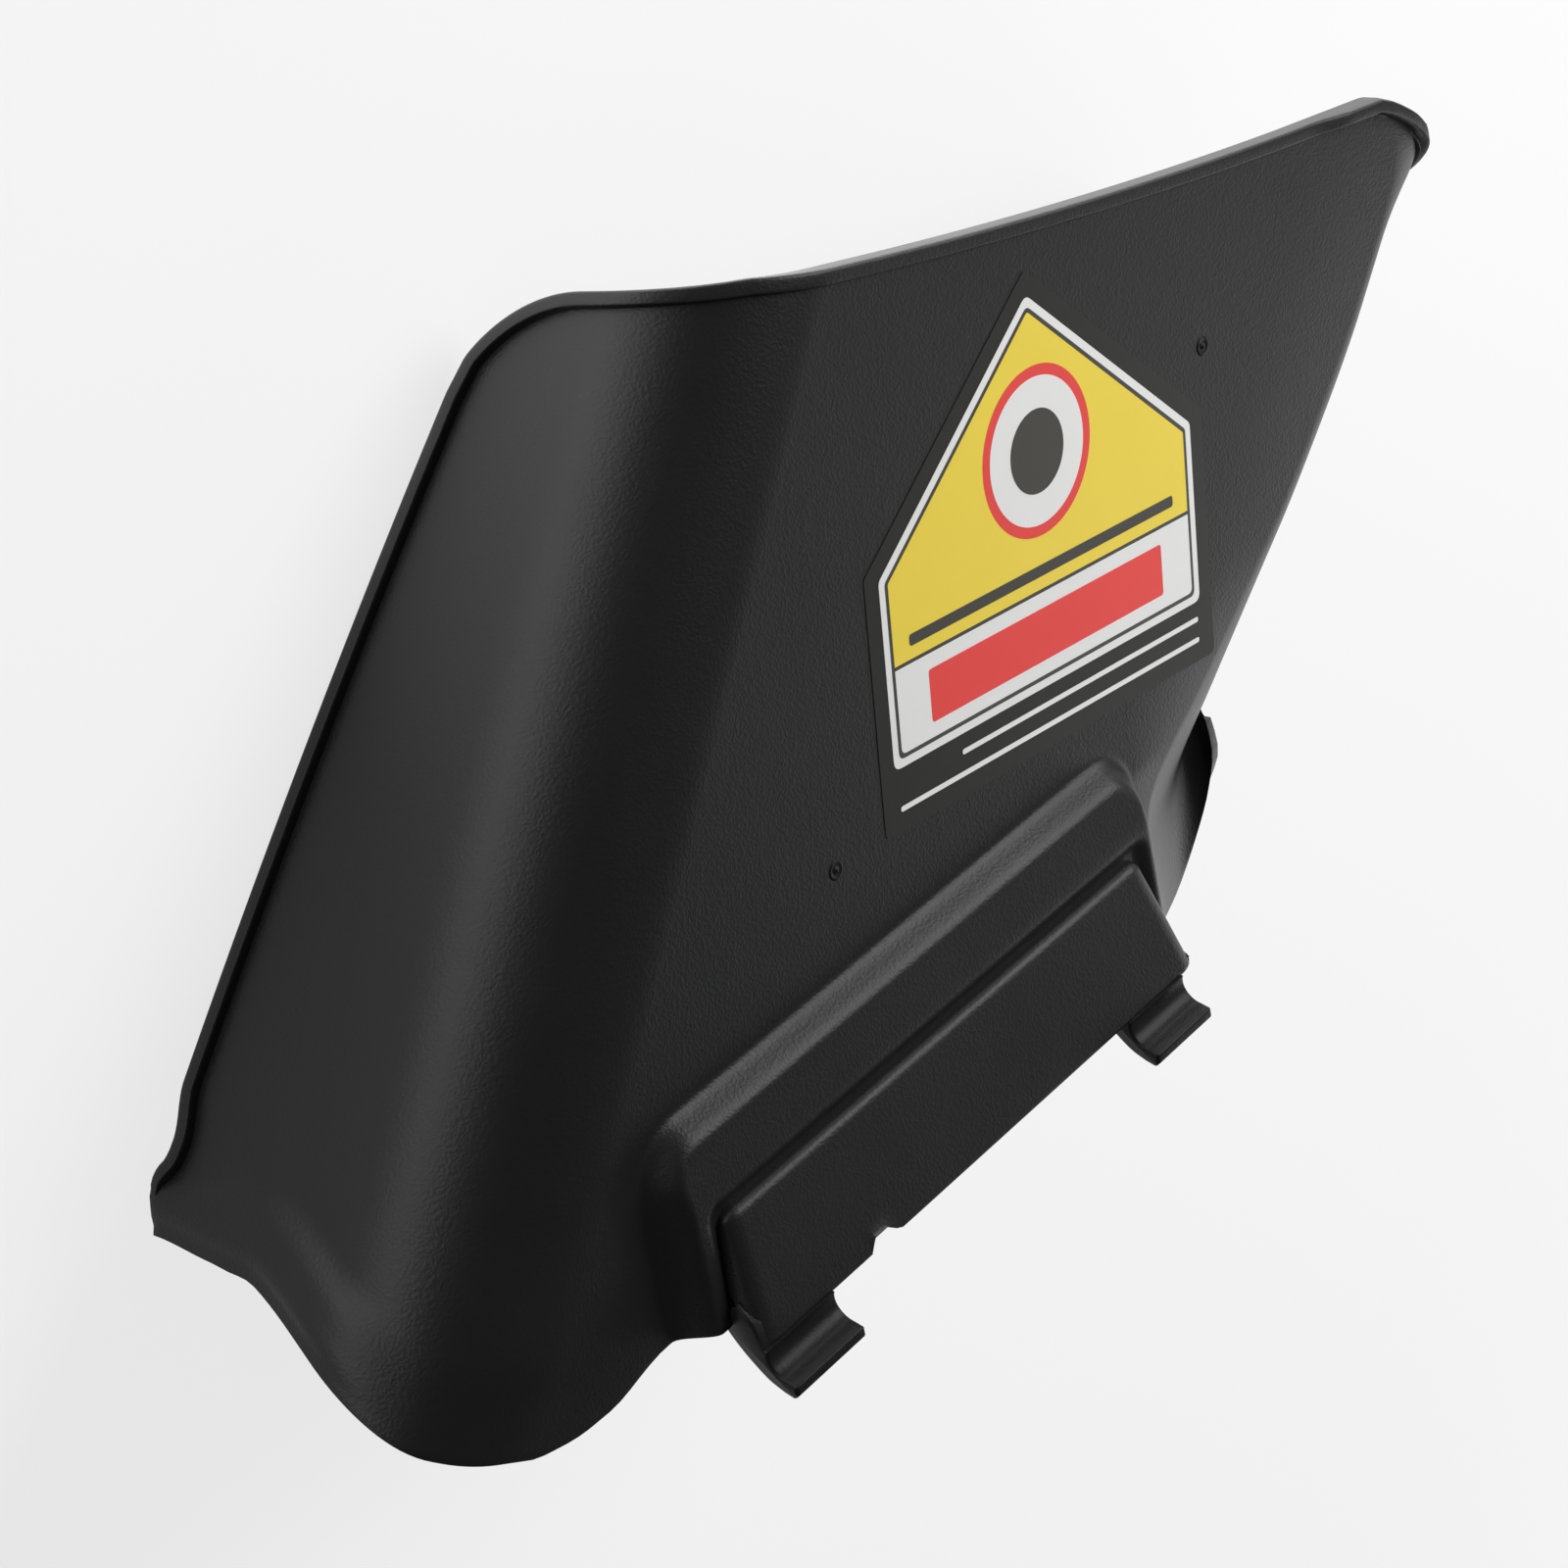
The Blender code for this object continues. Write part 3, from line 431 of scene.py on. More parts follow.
def shell_surface():
    """Outer surface of the moulding as a grid: columns from the near rim to the far rim, rows from
    the hinge end to the discharge edge.  Also returns the rows at which the lip starts and ends."""
    split = BLK_TOP_W - 1.0
    row_w = np.unique(np.r_[steps(HINGE_LINE, split, ROW_COARSE),
                            steps(split, SH_TOP + 2.5, ROW_FINE)])
    tau = steps(0.0, 1.0, 0.016)[1:]
    t_low = (row_w - BEND_LINE * OUT[1]) / RUN[1]
    t_end = float(discharge_t(np.array(0.0)))
    level = np.r_[t_low, t_low[-1] + (t_end - t_low[-1]) * tau]
    share = np.r_[np.zeros(len(row_w)), tau]
    w_far = np.r_[row_w, row_w[-1] + (far_corner()[1] - row_w[-1]) * tau]
    crease = np.c_[crease_h(w_far), w_far]
    left = near(0.0, level)[:, :2]
    left[0, 1] = HINGE_LINE
    flat = flat_columns(left, crease, len(row_w), share)
    edge = np.c_[crease, np.zeros(len(crease))][None]
    side = near_columns(level)
    grid = np.concatenate([side, flat, edge, far_columns(crease)])
    grid[..., 1] -= bulge(grid[..., 0], grid[..., 1])
    face = slice(len(side), len(side) + len(flat) + 1)
    grid[face, :, 2] += shoulder(grid[face, :, 0], grid[face, :, 1])
    return grid, int(np.searchsorted(row_w, LIP_START)), int(np.searchsorted(row_w, LIP_END))


# placing and meshing

def to_row(p):
    """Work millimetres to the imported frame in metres: turn the axes, pitch about +Y, then shift."""
    p = np.asarray(p, float)
    x, y, z = p[..., 1], -p[..., 0], p[..., 2] - RIM_LEVEL
    turned = np.stack([x * cos(PITCH) + z * sin(PITCH), y, z * cos(PITCH) - x * sin(PITCH)], -1)
    return turned * MM + SHIFT


def signed_volume(verts, faces):
    """Sum over each face's fan of triangles of the triple product over six."""
    total = 0.0
    for face in faces:
        p = verts[list(face)]
        total += (np.cross(p[1:-1], p[2:]) @ p[0]).sum()
    return total / 6.0


def new_piece(name, verts, faces, material, sharp=38.0):
    """Mesh object at the origin with its place in its vertices, smooth but for sharp edges."""
    mesh = bpy.data.meshes.new(name)
    mesh.from_pydata(to_row(verts).tolist(), [], faces)
    mesh.update()
    mesh.polygons.foreach_set("use_smooth", np.ones(len(mesh.polygons), bool))
    mesh.set_sharp_from_angle(angle=radians(sharp))
    mesh.materials.append(material)
    obj = bpy.data.objects.new(name, mesh)
    bpy.context.scene.collection.objects.link(obj)
    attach(obj, "root")
    return obj


def loft_faces(rings, count):
    """Faces between successive loops of count points, with one face over each end."""
    i, k = np.meshgrid(np.arange(count), np.arange(rings - 1))
    j = (i + 1) % count
    quads = np.stack([k * count + i, k * count + j, (k + 1) * count + j, (k + 1) * count + i], -1)
    ends = [list(range(count))[::-1], list(range((rings - 1) * count, rings * count))]
    return quads.reshape(-1, 4).tolist() + ends


def loft(name, loops, material, sharp=38.0):
    """Closed piece through an array of loops (rings, points, 3), turned so its faces point out."""
    rings, count = loops.shape[:2]
    verts = loops.reshape(-1, 3)
    faces = loft_faces(rings, count)
    if signed_volume(to_row(verts), faces) < 0.0:
        faces = [face[::-1] for face in faces]
    return new_piece(name, verts, faces, material, sharp)


def round_corners(points, radii, count=6):
    """Closed outline with each corner replaced by a parabola that touches both sides where a
    circle of its radius would."""
    p = np.array(points, float)
    before, after = np.roll(p, 1, axis=0), np.roll(p, -1, axis=0)
    out = []
    for corner, a, b, r in zip(p, before, after, np.broadcast_to(radii, len(p))):
        to_a, to_b = np.linalg.norm(a - corner), np.linalg.norm(b - corner)
        u, v = (a - corner) / to_a, (b - corner) / to_b
        half = 0.5 * np.arccos(np.clip(u @ v, -1.0, 1.0))
        back = min(r / np.tan(half), 0.45 * to_a, 0.45 * to_b)
        f = np.linspace(0.0, 1.0, count)[:, None]
        start, end = corner + u * back, corner + v * back
        out.append((1 - f) ** 2 * start + 2 * f * (1 - f) * corner + f ** 2 * end)
    return np.concatenate(out)


def resample(points, count):
    """The same open line with count points at even lengths."""
    length = np.r_[0.0, np.cumsum(np.linalg.norm(np.diff(points, axis=0), axis=1))]
    at = np.linspace(0.0, length[-1], count)
    return np.stack([np.interp(at, length, points[:, k]) for k in range(points.shape[1])], -1)


def outward_normals(outline):
    """Unit normals of a closed outline in its plane, pointing away from its inside."""
    along = np.roll(outline, -1, axis=0) - np.roll(outline, 1, axis=0)
    normal = np.stack([along[:, 1], -along[:, 0]], -1)
    normal /= np.maximum(np.linalg.norm(normal, axis=1), 1e-9)[:, None]
    after = np.roll(outline, -1, axis=0)
    area = (outline[:, 0] * after[:, 1] - after[:, 0] * outline[:, 1]).sum()
    return normal * np.sign(area)


# materials

def node(tree, kind, **values):
    """New node of a kind; a value whose name is an input socket goes there, any other on the node."""
    made = tree.nodes.new(kind)
    for name, value in values.items():
        socket = name.replace("_", " ")
        if socket in made.inputs:
            made.inputs[socket].default_value = value
        else:
            setattr(made, name, value)
    return made


def leather_grain():
    """Group: moulded leather grain.  Pebbles are the distance to a cell's edge in a warped cell
    pattern, and two soft noises add blotches and a fine tooth."""
    group = bpy.data.node_groups.new("leather_grain", "ShaderNodeTree")
    face = group.interface
    face.new_socket("Place", in_out="INPUT", socket_type="NodeSocketVector")
    for name, value in (("Pebbles per metre", 1400.0), ("Depth", 0.0001)):
        face.new_socket(name, in_out="INPUT", socket_type="NodeSocketFloat").default_value = value
    face.new_socket("Normal", in_out="OUTPUT", socket_type="NodeSocketVector")
    face.new_socket("Blotches", in_out="OUTPUT", socket_type="NodeSocketFloat")
    given = group.nodes.new("NodeGroupInput")
    result = group.nodes.new("NodeGroupOutput")
    link = group.links.new
    warp = node(group, "ShaderNodeTexNoise", Scale=260.0, Detail=2.0)
    link(given.outputs["Place"], warp.inputs["Vector"])
    push = node(group, "ShaderNodeMixRGB", blend_type="LINEAR_LIGHT", Fac=0.0011)
    link(given.outputs["Place"], push.inputs["Color1"])
    link(warp.outputs["Color"], push.inputs["Color2"])
    cells = node(group, "ShaderNodeTexVoronoi", feature="SMOOTH_F1", Smoothness=0.6, Randomness=1.0)
    link(push.outputs["Color"], cells.inputs["Vector"])
    link(given.outputs["Pebbles per metre"], cells.inputs["Scale"])
    tooth = node(group, "ShaderNodeTexNoise", Scale=2400.0, Detail=3.0)
    link(given.outputs["Place"], tooth.inputs["Vector"])
    height = node(group, "ShaderNodeMath", operation="MULTIPLY_ADD")
    height.inputs[1].default_value = 0.35
    link(tooth.outputs["Fac"], height.inputs[0])
    link(cells.outputs["Distance"], height.inputs[2])
    bump = node(group, "ShaderNodeBump", Strength=1.0)
    link(height.outputs["Value"], bump.inputs["Height"])
    link(given.outputs["Depth"], bump.inputs["Distance"])
    soft = node(group, "ShaderNodeTexNoise", Scale=34.0, Detail=4.0, Roughness=0.55)
    link(given.outputs["Place"], soft.inputs["Vector"])
    link(bump.outputs["Normal"], result.inputs["Normal"])
    link(soft.outputs["Fac"], result.inputs["Blotches"])
    return group


def black_plastic(name, grain, depth, dark, pale, rough, rough_spread, shine):
    """Moulded black polypropylene: grain in the bump, slightly paler and duller in soft blotches."""
    mat = bpy.data.materials.new(name)
    mat.use_nodes = True
    tree = mat.node_tree
    link = tree.links.new
    shader = tree.nodes["Principled BSDF"]
    place = tree.nodes.new("ShaderNodeTexCoord")
    texture = tree.nodes.new("ShaderNodeGroup")
    texture.node_tree = grain
    texture.inputs["Depth"].default_value = depth
    link(place.outputs["Object"], texture.inputs["Place"])
    colour = node(tree, "ShaderNodeMixRGB", Color1=(*dark, 1.0), Color2=(*pale, 1.0))
    link(texture.outputs["Blotches"], colour.inputs["Fac"])
    link(colour.outputs["Color"], shader.inputs["Base Color"])
    gloss = node(tree, "ShaderNodeMapRange")
    gloss.inputs["To Min"].default_value = rough - rough_spread
    gloss.inputs["To Max"].default_value = rough + rough_spread
    link(texture.outputs["Blotches"], gloss.inputs["Value"])
    link(gloss.outputs["Result"], shader.inputs["Roughness"])
    link(texture.outputs["Normal"], shader.inputs["Normal"])
    shader.inputs["Specular IOR Level"].default_value = shine
    return mat


def print_ink(name, colour, rough=0.42, shine=0.3):
    """Printed ink under the clear film: its colour varies a little, with the film's faint ripple."""
    mat = bpy.data.materials.new(name)
    mat.use_nodes = True
    tree = mat.node_tree
    link = tree.links.new
    shader = tree.nodes["Principled BSDF"]
    shader.inputs["Roughness"].default_value = rough
    shader.inputs["Specular IOR Level"].default_value = shine
    place = tree.nodes.new("ShaderNodeTexCoord")
    uneven = node(tree, "ShaderNodeTexNoise", Scale=55.0, Detail=3.0)
    link(place.outputs["Object"], uneven.inputs["Vector"])
    worn = tuple(0.95 * c for c in colour)
    tint = node(tree, "ShaderNodeMixRGB", Color1=(*worn, 1.0), Color2=(*colour, 1.0))
    link(uneven.outputs["Fac"], tint.inputs["Fac"])
    link(tint.outputs["Color"], shader.inputs["Base Color"])
    ripple = node(tree, "ShaderNodeTexNoise", Scale=700.0, Detail=2.0)
    link(place.outputs["Object"], ripple.inputs["Vector"])
    bump = node(tree, "ShaderNodeBump", Strength=0.25, Distance=0.00004)
    link(ripple.outputs["Fac"], bump.inputs["Height"])
    link(bump.outputs["Normal"], shader.inputs["Normal"])
    return mat


# the pieces

def moulded_shell(grid, material):
    """The shell: its outer surface as one grid, given its wall by Solidify and its edge by Bevel."""
    cols, rows = grid.shape[:2]
    i, j = np.meshgrid(np.arange(cols - 1), np.arange(rows - 1), indexing="ij")
    a = (i * rows + j).ravel()
    faces = np.stack([a, a + rows, a + rows + 1, a + 1], -1).tolist()
    obj = new_piece("moulded_shell", grid.reshape(-1, 3), faces, material, 180.0)
    wall = obj.modifiers.new("wall", "SOLIDIFY")
    wall.thickness = WALL * MM
    wall.offset = -1.0
    edge = obj.modifiers.new("edge", "BEVEL")
    edge.width = EDGE_ROUND * MM
    edge.segments = 2
    edge.limit_method = "ANGLE"
    edge.angle_limit = radians(62.0)
    return obj


def edge_frame(grid, first, last):
    """Path along the near rim, the discharge edge and the far rim in even steps, with the surface
    normal, the direction into the face and the distance from the start at each point."""
    cols, rows = grid.shape[:2]
    normal = np.cross(np.gradient(grid, axis=0), np.gradient(grid, axis=1))
    normal /= np.maximum(np.linalg.norm(normal, axis=2), 1e-9)[..., None]
    normal *= np.sign(normal[cols // 2, rows // 2, 2])
    path = np.concatenate([grid[0, first:-1], grid[1:-1, -1], grid[-1, -2:last:-1]])
    normal = np.concatenate([normal[1, first:-1], normal[1:-1, -2], normal[-2, -2:last:-1]])
    length = np.r_[0.0, np.cumsum(np.linalg.norm(np.diff(path, axis=0), axis=1))]
    at = steps(0.0, length[-1], LIP_STEP)
    path, normal = (np.stack([np.interp(at, length, field[:, k]) for k in range(3)], -1)
                    for field in (path, normal))
    along = np.gradient(path, axis=0)
    along /= np.linalg.norm(along, axis=1)[:, None]
    padded = np.pad(normal, ((2, 2), (0, 0)), "edge")
    normal = sum(padded[k:k + len(normal)] for k in range(5)) / 5.0
    normal -= (normal * along).sum(1)[:, None] * along
    normal /= np.linalg.norm(normal, axis=1)[:, None]
    inward = np.cross(along, normal)
    middle = grid[cols // 2, rows // 2] - path[len(path) // 2]
    return path, normal, inward * np.sign((middle * inward[len(path) // 2]).sum()), at


def lip_height(h, n):
    """Height of the lip: products of smooth steps make it low along the discharge edge only."""
    low = smooth((h - LOW_FROM) / LOW_SPAN) * smooth((FAR_CORNER - 10.0 - h) / 14.0)
    return LIP_H + (LIP_LOW - LIP_H) * low * smooth((n + 22.0) / 10.0)


def rim_lip(grid, first, last, material):
    """Rounded bead carried along the free edges, as high as lip_height says; toward its start at the
    ear it shrinks to a core inside the wall."""
    path, normal, inward, at = edge_frame(grid, first, last)
    outline = round_corners([(-LIP_BEAD, -WALL - LIP_BEAD), (-LIP_BEAD, 1.0), (LIP_W, 1.0),
                             (LIP_W, -0.1), (LIP_W + 0.5, -0.2), (LIP_W, -WALL - LIP_BEAD)],
                            [0.5, 0.9, 0.7, 0.5, 0.1, 0.5])
    tall = lip_height(path[:, 0], path[:, 2])[:, None]
    grown = smooth((at - LIP_FADE[0]) / (LIP_FADE[1] - LIP_FADE[0]))[:, None]
    grown = LIP_LEAST + (1.0 - LIP_LEAST) * grown
    across = LIP_CORE[0] + grown * (outline[:, 0] - LIP_CORE[0])
    rise = np.where(outline[:, 1] > 0.0, outline[:, 1] * tall, outline[:, 1])
    rise = LIP_CORE[1] + grown * (rise - LIP_CORE[1])
    loops = path[:, None] + inward[:, None] * across[..., None] + normal[:, None] * rise[..., None]
    obj = loft("rim_lip", loops, material)
    return obj


def divided(outline, longest):
    """Outline with each side that is longer than this cut into equal parts."""
    parts = [np.linspace(a, b, 1 + int(np.ceil(np.linalg.norm(b - a) / longest)))[:-1]
             for a, b in zip(outline[:-1], outline[1:])]
    return np.concatenate(parts + [outline[-1:]])


def block_sections():
    """Two outlines of the hinge block with the same number of points: solid, and with the pocket."""
    slope = (BLK_LOW_N - BLK_TOP_N) / (BLK_TOP_W - BLK_LOW_W)
    roof = lambda w: BLK_TOP_N + slope * (BLK_TOP_W - w) - BLK_SKIN
    top = round_corners([BLK_FOOT, (BLK_TOP_W + 1.4, 0.2), (BLK_TOP_W, BLK_TOP_N),
                         (BLK_LOW_W, BLK_LOW_N), (BLK_LOW_W - 0.6, BLK_LOW_N - 2.6)],
                        [0.3, 0.6, 2.6, 1.3, 0.8])[3:-3]
    top = divided(top, 3.0)
    corner = (BLK_LOW_W - 0.4, BLK_LOW_N - 2.9)
    mouth = BLK_LOW_W + 3.3
    foot = [(-64.6, BLK_FOOT[1]), BLK_FOOT]
    solid = np.array([corner, (-69.0, 8.6), (-66.0, 5.0)] + foot)
    hollow = np.array([corner, (mouth, roof(mouth)), (POCKET_W, roof(POCKET_W)),
                       (POCKET_W, POCKET_FLOOR), (-64.4, POCKET_FLOOR)] + foot)
    return [np.concatenate([top, resample(under, 60)]) for under in (solid, hollow)]


def hinge_block(material):
    """Block whose outline is carried along the hinge axis.  Near both ends it shrinks by a circle
    rule, its ends splay with distance from its upper edge, the notch pushes its lower edge back by
    a trapezoid, and between two doubled stations it takes the outline with the pocket."""
    solid, hollow = block_sections()
    span = steps(0.0, BLK_END_ROUND, 0.35)
    middle = steps(BLK_NEAR + BLK_END_ROUND, BLK_FAR - BLK_END_ROUND, 2.0)
    stations = np.unique(np.round(np.r_[BLK_NEAR + span, middle, NOTCH_MOUTH, NOTCH_FLOOR,
                                        BLK_FAR - span], 4))
    pocketed = (stations > POCKET[0]) & (stations < POCKET[1])
    stations = np.r_[stations[stations <= POCKET[0]], POCKET[0], POCKET[0], stations[pocketed],
                     POCKET[1], POCKET[1], stations[stations >= POCKET[1]]]
    inside = (stations > POCKET[0]) & (stations < POCKET[1])
    inside |= np.r_[False, np.diff(stations) == 0.0] & (stations == POCKET[0])
    inside |= np.r_[np.diff(stations) == 0.0, False] & (stations == POCKET[1])
    outline = np.where(inside[:, None, None], hollow[None], solid[None])
    stations = stations + STATION_GAP * np.r_[0.0, np.diff(stations) == 0.0]
    depth = np.minimum(stations - BLK_NEAR, BLK_FAR - stations)
    short = np.clip(BLK_END_ROUND - depth, 0.0, BLK_END_ROUND)
    shrink = BLK_END_ROUND - np.sqrt(BLK_END_ROUND ** 2 - short ** 2)
    outline = outline - outward_normals(solid)[None] * (0.6 * shrink)[:, None, None]
    notch = np.interp(stations, [NOTCH_MOUTH[0], NOTCH_FLOOR[0], NOTCH_FLOOR[1], NOTCH_MOUTH[1]],
                      [-1.0, NOTCH_DEPTH, NOTCH_DEPTH, -1.0])
    outline[..., 0] = np.maximum(outline[..., 0], (BLK_LOW_W + notch)[:, None])
    near_end = smooth(1.0 - (stations - BLK_NEAR) / SPLAY_REACH)
    far_end = smooth(1.0 - (BLK_FAR - stations) / SPLAY_REACH)
    splay = (BLK_FAR_LOW - BLK_FAR) * far_end - (BLK_NEAR - BLK_NEAR_LOW) * near_end
    splay = splay / (BLK_TOP_W - BLK_LOW_W)
    h = stations[:, None] + splay[:, None] * np.maximum(0.0, BLK_TOP_W - outline[..., 0])
    obj = loft("hinge_block", np.concatenate([h[..., None], outline], -1), material)
    return obj


def arc(centre, radius, start, end, count):
    """Points of a circle arc between two angles in degrees."""
    a = np.radians(np.linspace(start, end, count))
    return np.c_[centre[0] + radius * np.cos(a), centre[1] + radius * np.sin(a)]


def rod_hook(name, span, material):
    """Hook whose outline, with an arc as the rod's seat, is carried along the hinge axis; its two
    ends shrink by a circle rule."""
    seat = arc((ROD_W, ROD_N), ROD_R, -70.0, -172.0, 14)
    tip = round_corners([seat[-1], *HOOK_TIP], [0.1, 0.5, 0.6, 0.8, 2.0], 4)[4:-4]
    back = spline(HOOK_BACK, np.linspace(0.0, 1.0, 14))
    root = np.array([(-62.0, 9.0), (-66.0, 12.4), (BLK_LOW_W + 0.4, BLK_LOW_N - 0.6)])
    outline = np.concatenate([root, seat, tip, back])
    edge = steps(0.0, HOOK_ROUND, 0.2)
    stations = np.unique(np.r_[span[0] + edge, steps(span[0] + HOOK_ROUND, span[1] - HOOK_ROUND, 3.0),
                               span[1] - edge])
    short = HOOK_ROUND - np.minimum(stations - span[0], span[1] - stations)
    short = np.clip(short, 0.0, HOOK_ROUND)
    shrink = HOOK_ROUND - np.sqrt(HOOK_ROUND ** 2 - short ** 2)
    loops = outline[None] - outward_normals(outline)[None] * shrink[:, None, None]
    h = np.broadcast_to(stations[:, None, None], loops.shape[:2] + (1,))
    obj = loft(name, np.concatenate([h, loops], -1), material)
    return obj


def gate_mark(name, centre, material):
    """Small gate mark turned about n: a low ring, a dished floor and a nub, as radius and height."""
    profile = np.array([(2.1, -0.3), (2.1, 0.0), (1.75, 0.22), (1.45, 0.16), (1.2, 0.02), (0.8, 0.02),
                        (0.5, 0.28), (0.28, 0.45), (0.02, 0.48)])
    turn = np.linspace(0.0, 2.0 * np.pi, 28, endpoint=False)
    ring = np.stack([np.cos(turn), np.sin(turn)], -1)
    loops = np.concatenate([np.array(centre) + profile[:, None, :1] * ring[None],
                            np.broadcast_to(profile[:, None, 1:], (len(profile), len(turn), 1))], -1)
    obj = loft(name, loops, material, 60.0)
    return obj


def label_outline(points, low, high):
    """Two loops of work points from an outline in label axes, at two heights."""
    p = np.array(points, float)
    h = p[:, 0] * cos(LABEL_TURN) + p[:, 1] * sin(LABEL_TURN)
    w = p[:, 1] * cos(LABEL_TURN) - p[:, 0] * sin(LABEL_TURN)
    return np.stack([np.c_[h, w, np.full(len(p), n)] for n in (low, high)])


def house(inset):
    """House outline of the label, drawn in by inset on every side."""
    half = 0.5 * LABEL_W - inset
    roof = atan(LABEL_APEX / (0.5 * LABEL_W))
    side = LABEL_SIDE - inset / cos(roof) + inset * np.tan(roof)
    return [(-half, inset), (half, inset), (half, side), (0.0, side + half * np.tan(roof)),
            (-half, side)]


def label_field(name, outline, layer, material):
    """One field of the print, a thin plate on the film; each layer lies a hair above the last."""
    low = SHOWN_TOP - 0.05
    high = SHOWN_TOP + layer * PRINT_STEP
    obj = loft(name, label_outline(outline, low, high), material, 30.0)
    return obj


def printed_label():
    """The film and its plain fields: border, keyline, a yellow gable, a pale band and simple shapes."""
    film = print_ink("clear_film", (0.012, 0.0125, 0.010), 0.38, 0.22)
    white = print_ink("pale_ink", (0.79, 0.79, 0.78))
    dark = print_ink("dark_ink", (0.042, 0.040, 0.032))
    yellow = print_ink("yellow_ink", (0.84, 0.65, 0.058))
    red = print_ink("red_ink", (0.78, 0.050, 0.044))
    sheet = label_outline(round_corners(FILM_EDGE, 1.5), SHOWN_LOW, SHOWN_TOP)
    base = loft("label_sheet", sheet, film, 30.0)
    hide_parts("label_film")
    label_field("label_border", round_corners(house(0.0), 2.0), 1, white)
    label_field("label_keyline", round_corners(house(KEYLINE_IN), 1.6), 2, dark)
    inner = house(FIELD_IN)
    left, right = inner[0][0], inner[1][0]
    band = [inner[0], inner[1], (right, DIVIDE - DIVIDE_HALF), (left, DIVIDE - DIVIDE_HALF)]
    gable = [(left, DIVIDE + DIVIDE_HALF), (right, DIVIDE + DIVIDE_HALF), *inner[2:]]
    label_field("label_band", round_corners(band, [1.4, 1.4, 0.1, 0.1]), 3, white)
    label_field("label_gable", round_corners(gable, [0.1, 0.1, 0.8, 0.8, 0.8]), 3, yellow)
    turn = np.linspace(0.0, 2.0 * np.pi, 96, endpoint=False)
    disc = lambda radius: np.c_[radius * np.cos(turn), RING_AT + radius * np.sin(turn)]
    label_field("label_ring", disc(RING_R), 4, red)
    label_field("label_disc", disc(DISC_R), 5, white)
    label_field("label_dot", disc(DOT_R), 6, dark)
    bar = lambda x0, x1, y0, y1: round_corners([(x0, y0), (x1, y0), (x1, y1), (x0, y1)], 0.8)
    label_field("label_red_bar", bar(-38.5, 38.5, 5.6, 16.6), 4, red)
    label_field("label_dark_bar", bar(-43.5, 43.5, 23.2, 25.6), 4, dark)
    label_field("label_foot_line_1", bar(-30.0, 50.0, -4.4, -3.3), 1, white)
    label_field("label_foot_line_2", bar(-50.0, 50.0, -8.9, -7.8), 1, white)


# stage, lights and camera

def floor_material():
    """Pale floor: lit and shadowed as it is, mixed with plain white where a camera ray meets it and,
    where a mirror ray does, with a band along x that glows up to nine times white: a painted
    reflection that puts a sheen on the near wall."""
    mat = bpy.data.materials.new("pale_floor_with_painted_sheen")
    mat.use_nodes = True
    tree = mat.node_tree
    link = tree.links.new
    shader = tree.nodes["Principled BSDF"]
    shader.inputs["Base Color"].default_value = (0.85, 0.85, 0.85, 1.0)
    shader.inputs["Roughness"].default_value = 0.9
    shader.inputs["Specular IOR Level"].default_value = 0.0
    glow = node(tree, "ShaderNodeEmission")
    rays = tree.nodes.new("ShaderNodeLightPath")
    place = tree.nodes.new("ShaderNodeTexCoord")
    parts = tree.nodes.new("ShaderNodeSeparateXYZ")
    link(place.outputs["Object"], parts.inputs["Vector"])
    band = node(tree, "ShaderNodeValToRGB")
    stops = band.color_ramp.elements
    while len(stops) < len(FLOOR_SHEEN_BAND):
        stops.new(0.5)
    for stop, (place_x, share) in zip(stops, FLOOR_SHEEN_BAND):
        stop.position = place_x
        stop.color = (share, share, share, 1.0)
    link(parts.outputs["X"], band.inputs["Fac"])
    # painted reflection: mirror rays see the floor's band glow up to nine times white
    shine = node(tree, "ShaderNodeMath", operation="MULTIPLY")
    shine.inputs[1].default_value = FLOOR_SHEEN_TOP
    link(band.outputs["Color"], shine.inputs[0])
    strength = node(tree, "ShaderNodeMapRange")
    strength.inputs["To Min"].default_value = 1.0
    link(rays.outputs["Is Glossy Ray"], strength.inputs["Value"])
    link(shine.outputs["Value"], strength.inputs["To Max"])
    link(strength.outputs["Result"], glow.inputs["Strength"])
    shown = node(tree, "ShaderNodeMath", operation="MAXIMUM")
    link(rays.outputs["Is Camera Ray"], shown.inputs[0])
    link(rays.outputs["Is Glossy Ray"], shown.inputs[1])
    part = node(tree, "ShaderNodeMath", operation="MULTIPLY")
    part.inputs[1].default_value = FLOOR_GLOW
    link(shown.outputs["Value"], part.inputs[0])
    mix = tree.nodes.new("ShaderNodeMixShader")
    link(part.outputs["Value"], mix.inputs["Fac"])
    link(shader.outputs["BSDF"], mix.inputs[1])
    link(glow.outputs["Emission"], mix.inputs[2])
    link(mix.outputs["Shader"], tree.nodes["Material Output"].inputs["Surface"])
    return mat


def stage():
    """Level floor just under the rims, and a plain grey world that the camera sees as white."""
    side = FLOOR_SIDE
    mesh = bpy.data.meshes.new("floor")
    mesh.from_pydata([(x, y, FLOOR_LEVEL) for x, y in ((-side, -side), (side, -side),
                                                       (side, side), (-side, side))],
                     [], [(0, 1, 2, 3)])
    mesh.materials.append(floor_material())
    floor = bpy.data.objects.new("floor", mesh)
    bpy.context.scene.collection.objects.link(floor)

    world = bpy.data.worlds.new("plain_world")
    bpy.context.scene.world = world
    world.use_nodes = True
    tree = world.node_tree
    back = tree.nodes["Background"]
    back.inputs["Color"].default_value = (1.0, 1.0, 1.0, 1.0)
    rays = tree.nodes.new("ShaderNodeLightPath")
    level = node(tree, "ShaderNodeMapRange")
    level.inputs["To Min"].default_value = WORLD_LEVEL
    level.inputs["To Max"].default_value = 1.0
    tree.links.new(rays.outputs["Is Camera Ray"], level.inputs["Value"])
    tree.links.new(level.outputs["Result"], back.inputs["Strength"])


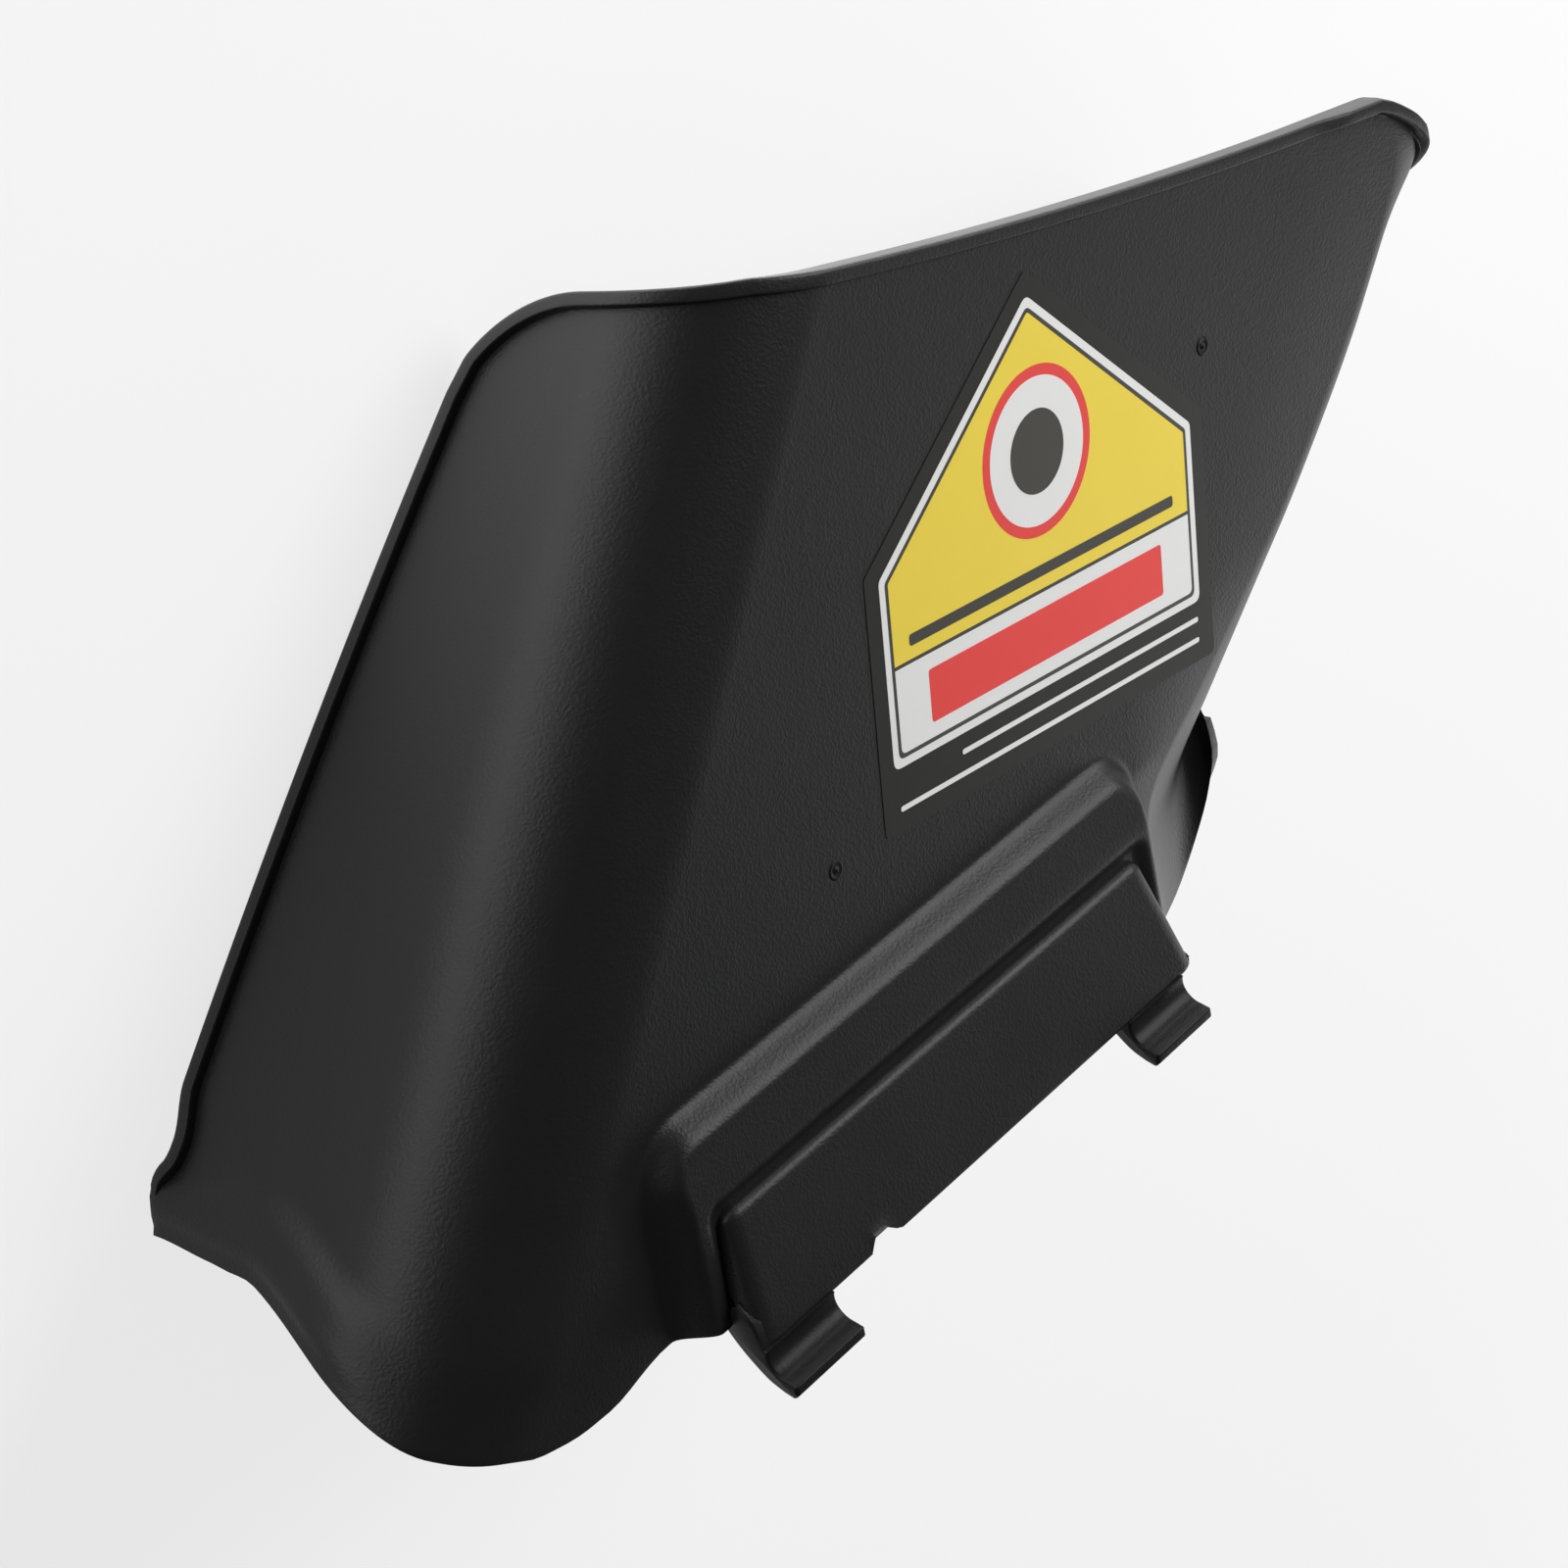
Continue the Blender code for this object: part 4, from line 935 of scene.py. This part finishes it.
def softbox(name, direction, distance, size, level, aim=(0.0, 0.0, 0.04)):
    """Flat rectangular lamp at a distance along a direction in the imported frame, facing the object;
    its power is its level times its area."""
    lamp = bpy.data.lights.new(name, "AREA")
    lamp.shape = "RECTANGLE"
    lamp.size, lamp.size_y = size
    lamp.energy = level * size[0] * size[1]
    obj = bpy.data.objects.new(name, lamp)
    way = Vector(direction).normalized()
    obj.location = Vector(aim) + way * distance
    obj.rotation_euler = way.to_track_quat("Z", "Y").to_euler()
    bpy.context.scene.collection.objects.link(obj)


def camera():
    """Camera at the photograph's place: aimed along its axis, with its own up direction."""
    data = bpy.data.cameras.new("camera")
    data.lens = CAMERA_LENS
    data.sensor_width = 36.0
    data.clip_start = 0.05
    obj = bpy.data.objects.new("camera", data)
    bpy.context.scene.collection.objects.link(obj)
    at, aim = Vector(to_row(CAMERA_AT)), Vector(to_row(CAMERA_AIM))
    up = Vector(to_row(np.add(CAMERA_AT, CAMERA_UP)) - to_row(CAMERA_AT)).normalized()
    back = (at - aim).normalized()
    right = up.cross(back).normalized()
    turn = Matrix((right, back.cross(right), back)).transposed()
    obj.matrix_world = Matrix.Translation(at) @ turn.to_4x4()
    bpy.context.scene.camera = obj


def box_of(loops):
    """Lowest and highest corner of points."""
    p = loops.reshape(-1, 3)
    return p.min(0), p.max(0)


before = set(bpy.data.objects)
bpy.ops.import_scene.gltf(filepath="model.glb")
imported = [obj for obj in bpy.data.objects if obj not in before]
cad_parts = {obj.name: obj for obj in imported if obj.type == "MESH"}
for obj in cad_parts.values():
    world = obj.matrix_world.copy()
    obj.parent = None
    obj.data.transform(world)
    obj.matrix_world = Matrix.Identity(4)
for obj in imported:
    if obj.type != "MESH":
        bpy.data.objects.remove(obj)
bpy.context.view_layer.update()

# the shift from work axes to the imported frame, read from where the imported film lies
SHIFT = np.zeros(3)
drawn_low, drawn_high = box_of(to_row(label_outline(FILM_EDGE, FILM_GAP, FILM_GAP + FILM_T)))
packed_low, packed_high = (np.array(corner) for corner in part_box("label_film"))
SHIFT = 0.5 * (packed_low + packed_high) - 0.5 * (drawn_low + drawn_high)

grain = leather_grain()
body_plastic = black_plastic("grained_black_plastic", grain, depth=0.00005,
                             dark=(0.0075, 0.0075, 0.0078), pale=(0.0105, 0.0105, 0.011),
                             rough=0.42, rough_spread=0.04, shine=0.22)
smooth_plastic = black_plastic("fine_black_plastic", grain, depth=0.00003,
                               dark=(0.008, 0.008, 0.0084), pale=(0.011, 0.011, 0.0114),
                               rough=0.38, rough_spread=0.04, shine=0.10)

surface, lip_first, lip_last = shell_surface()
shell = moulded_shell(surface, body_plastic)
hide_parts("chute_body")
rim_lip(surface, lip_first, lip_last, body_plastic)
hinge_block(body_plastic)
for number, span in enumerate(HOOKS, 1):
    rod_hook("rod_hook_%d" % number, span, smooth_plastic)
for number, centre in enumerate(GATES, 1):
    gate_mark("gate_mark_%d" % number, centre, smooth_plastic)
printed_label()

stage()
for lamp in LAMPS:
    softbox(*lamp)
camera()

scene = bpy.context.scene
scene.view_settings.view_transform = "Standard"
bpy.context.view_layer.update()
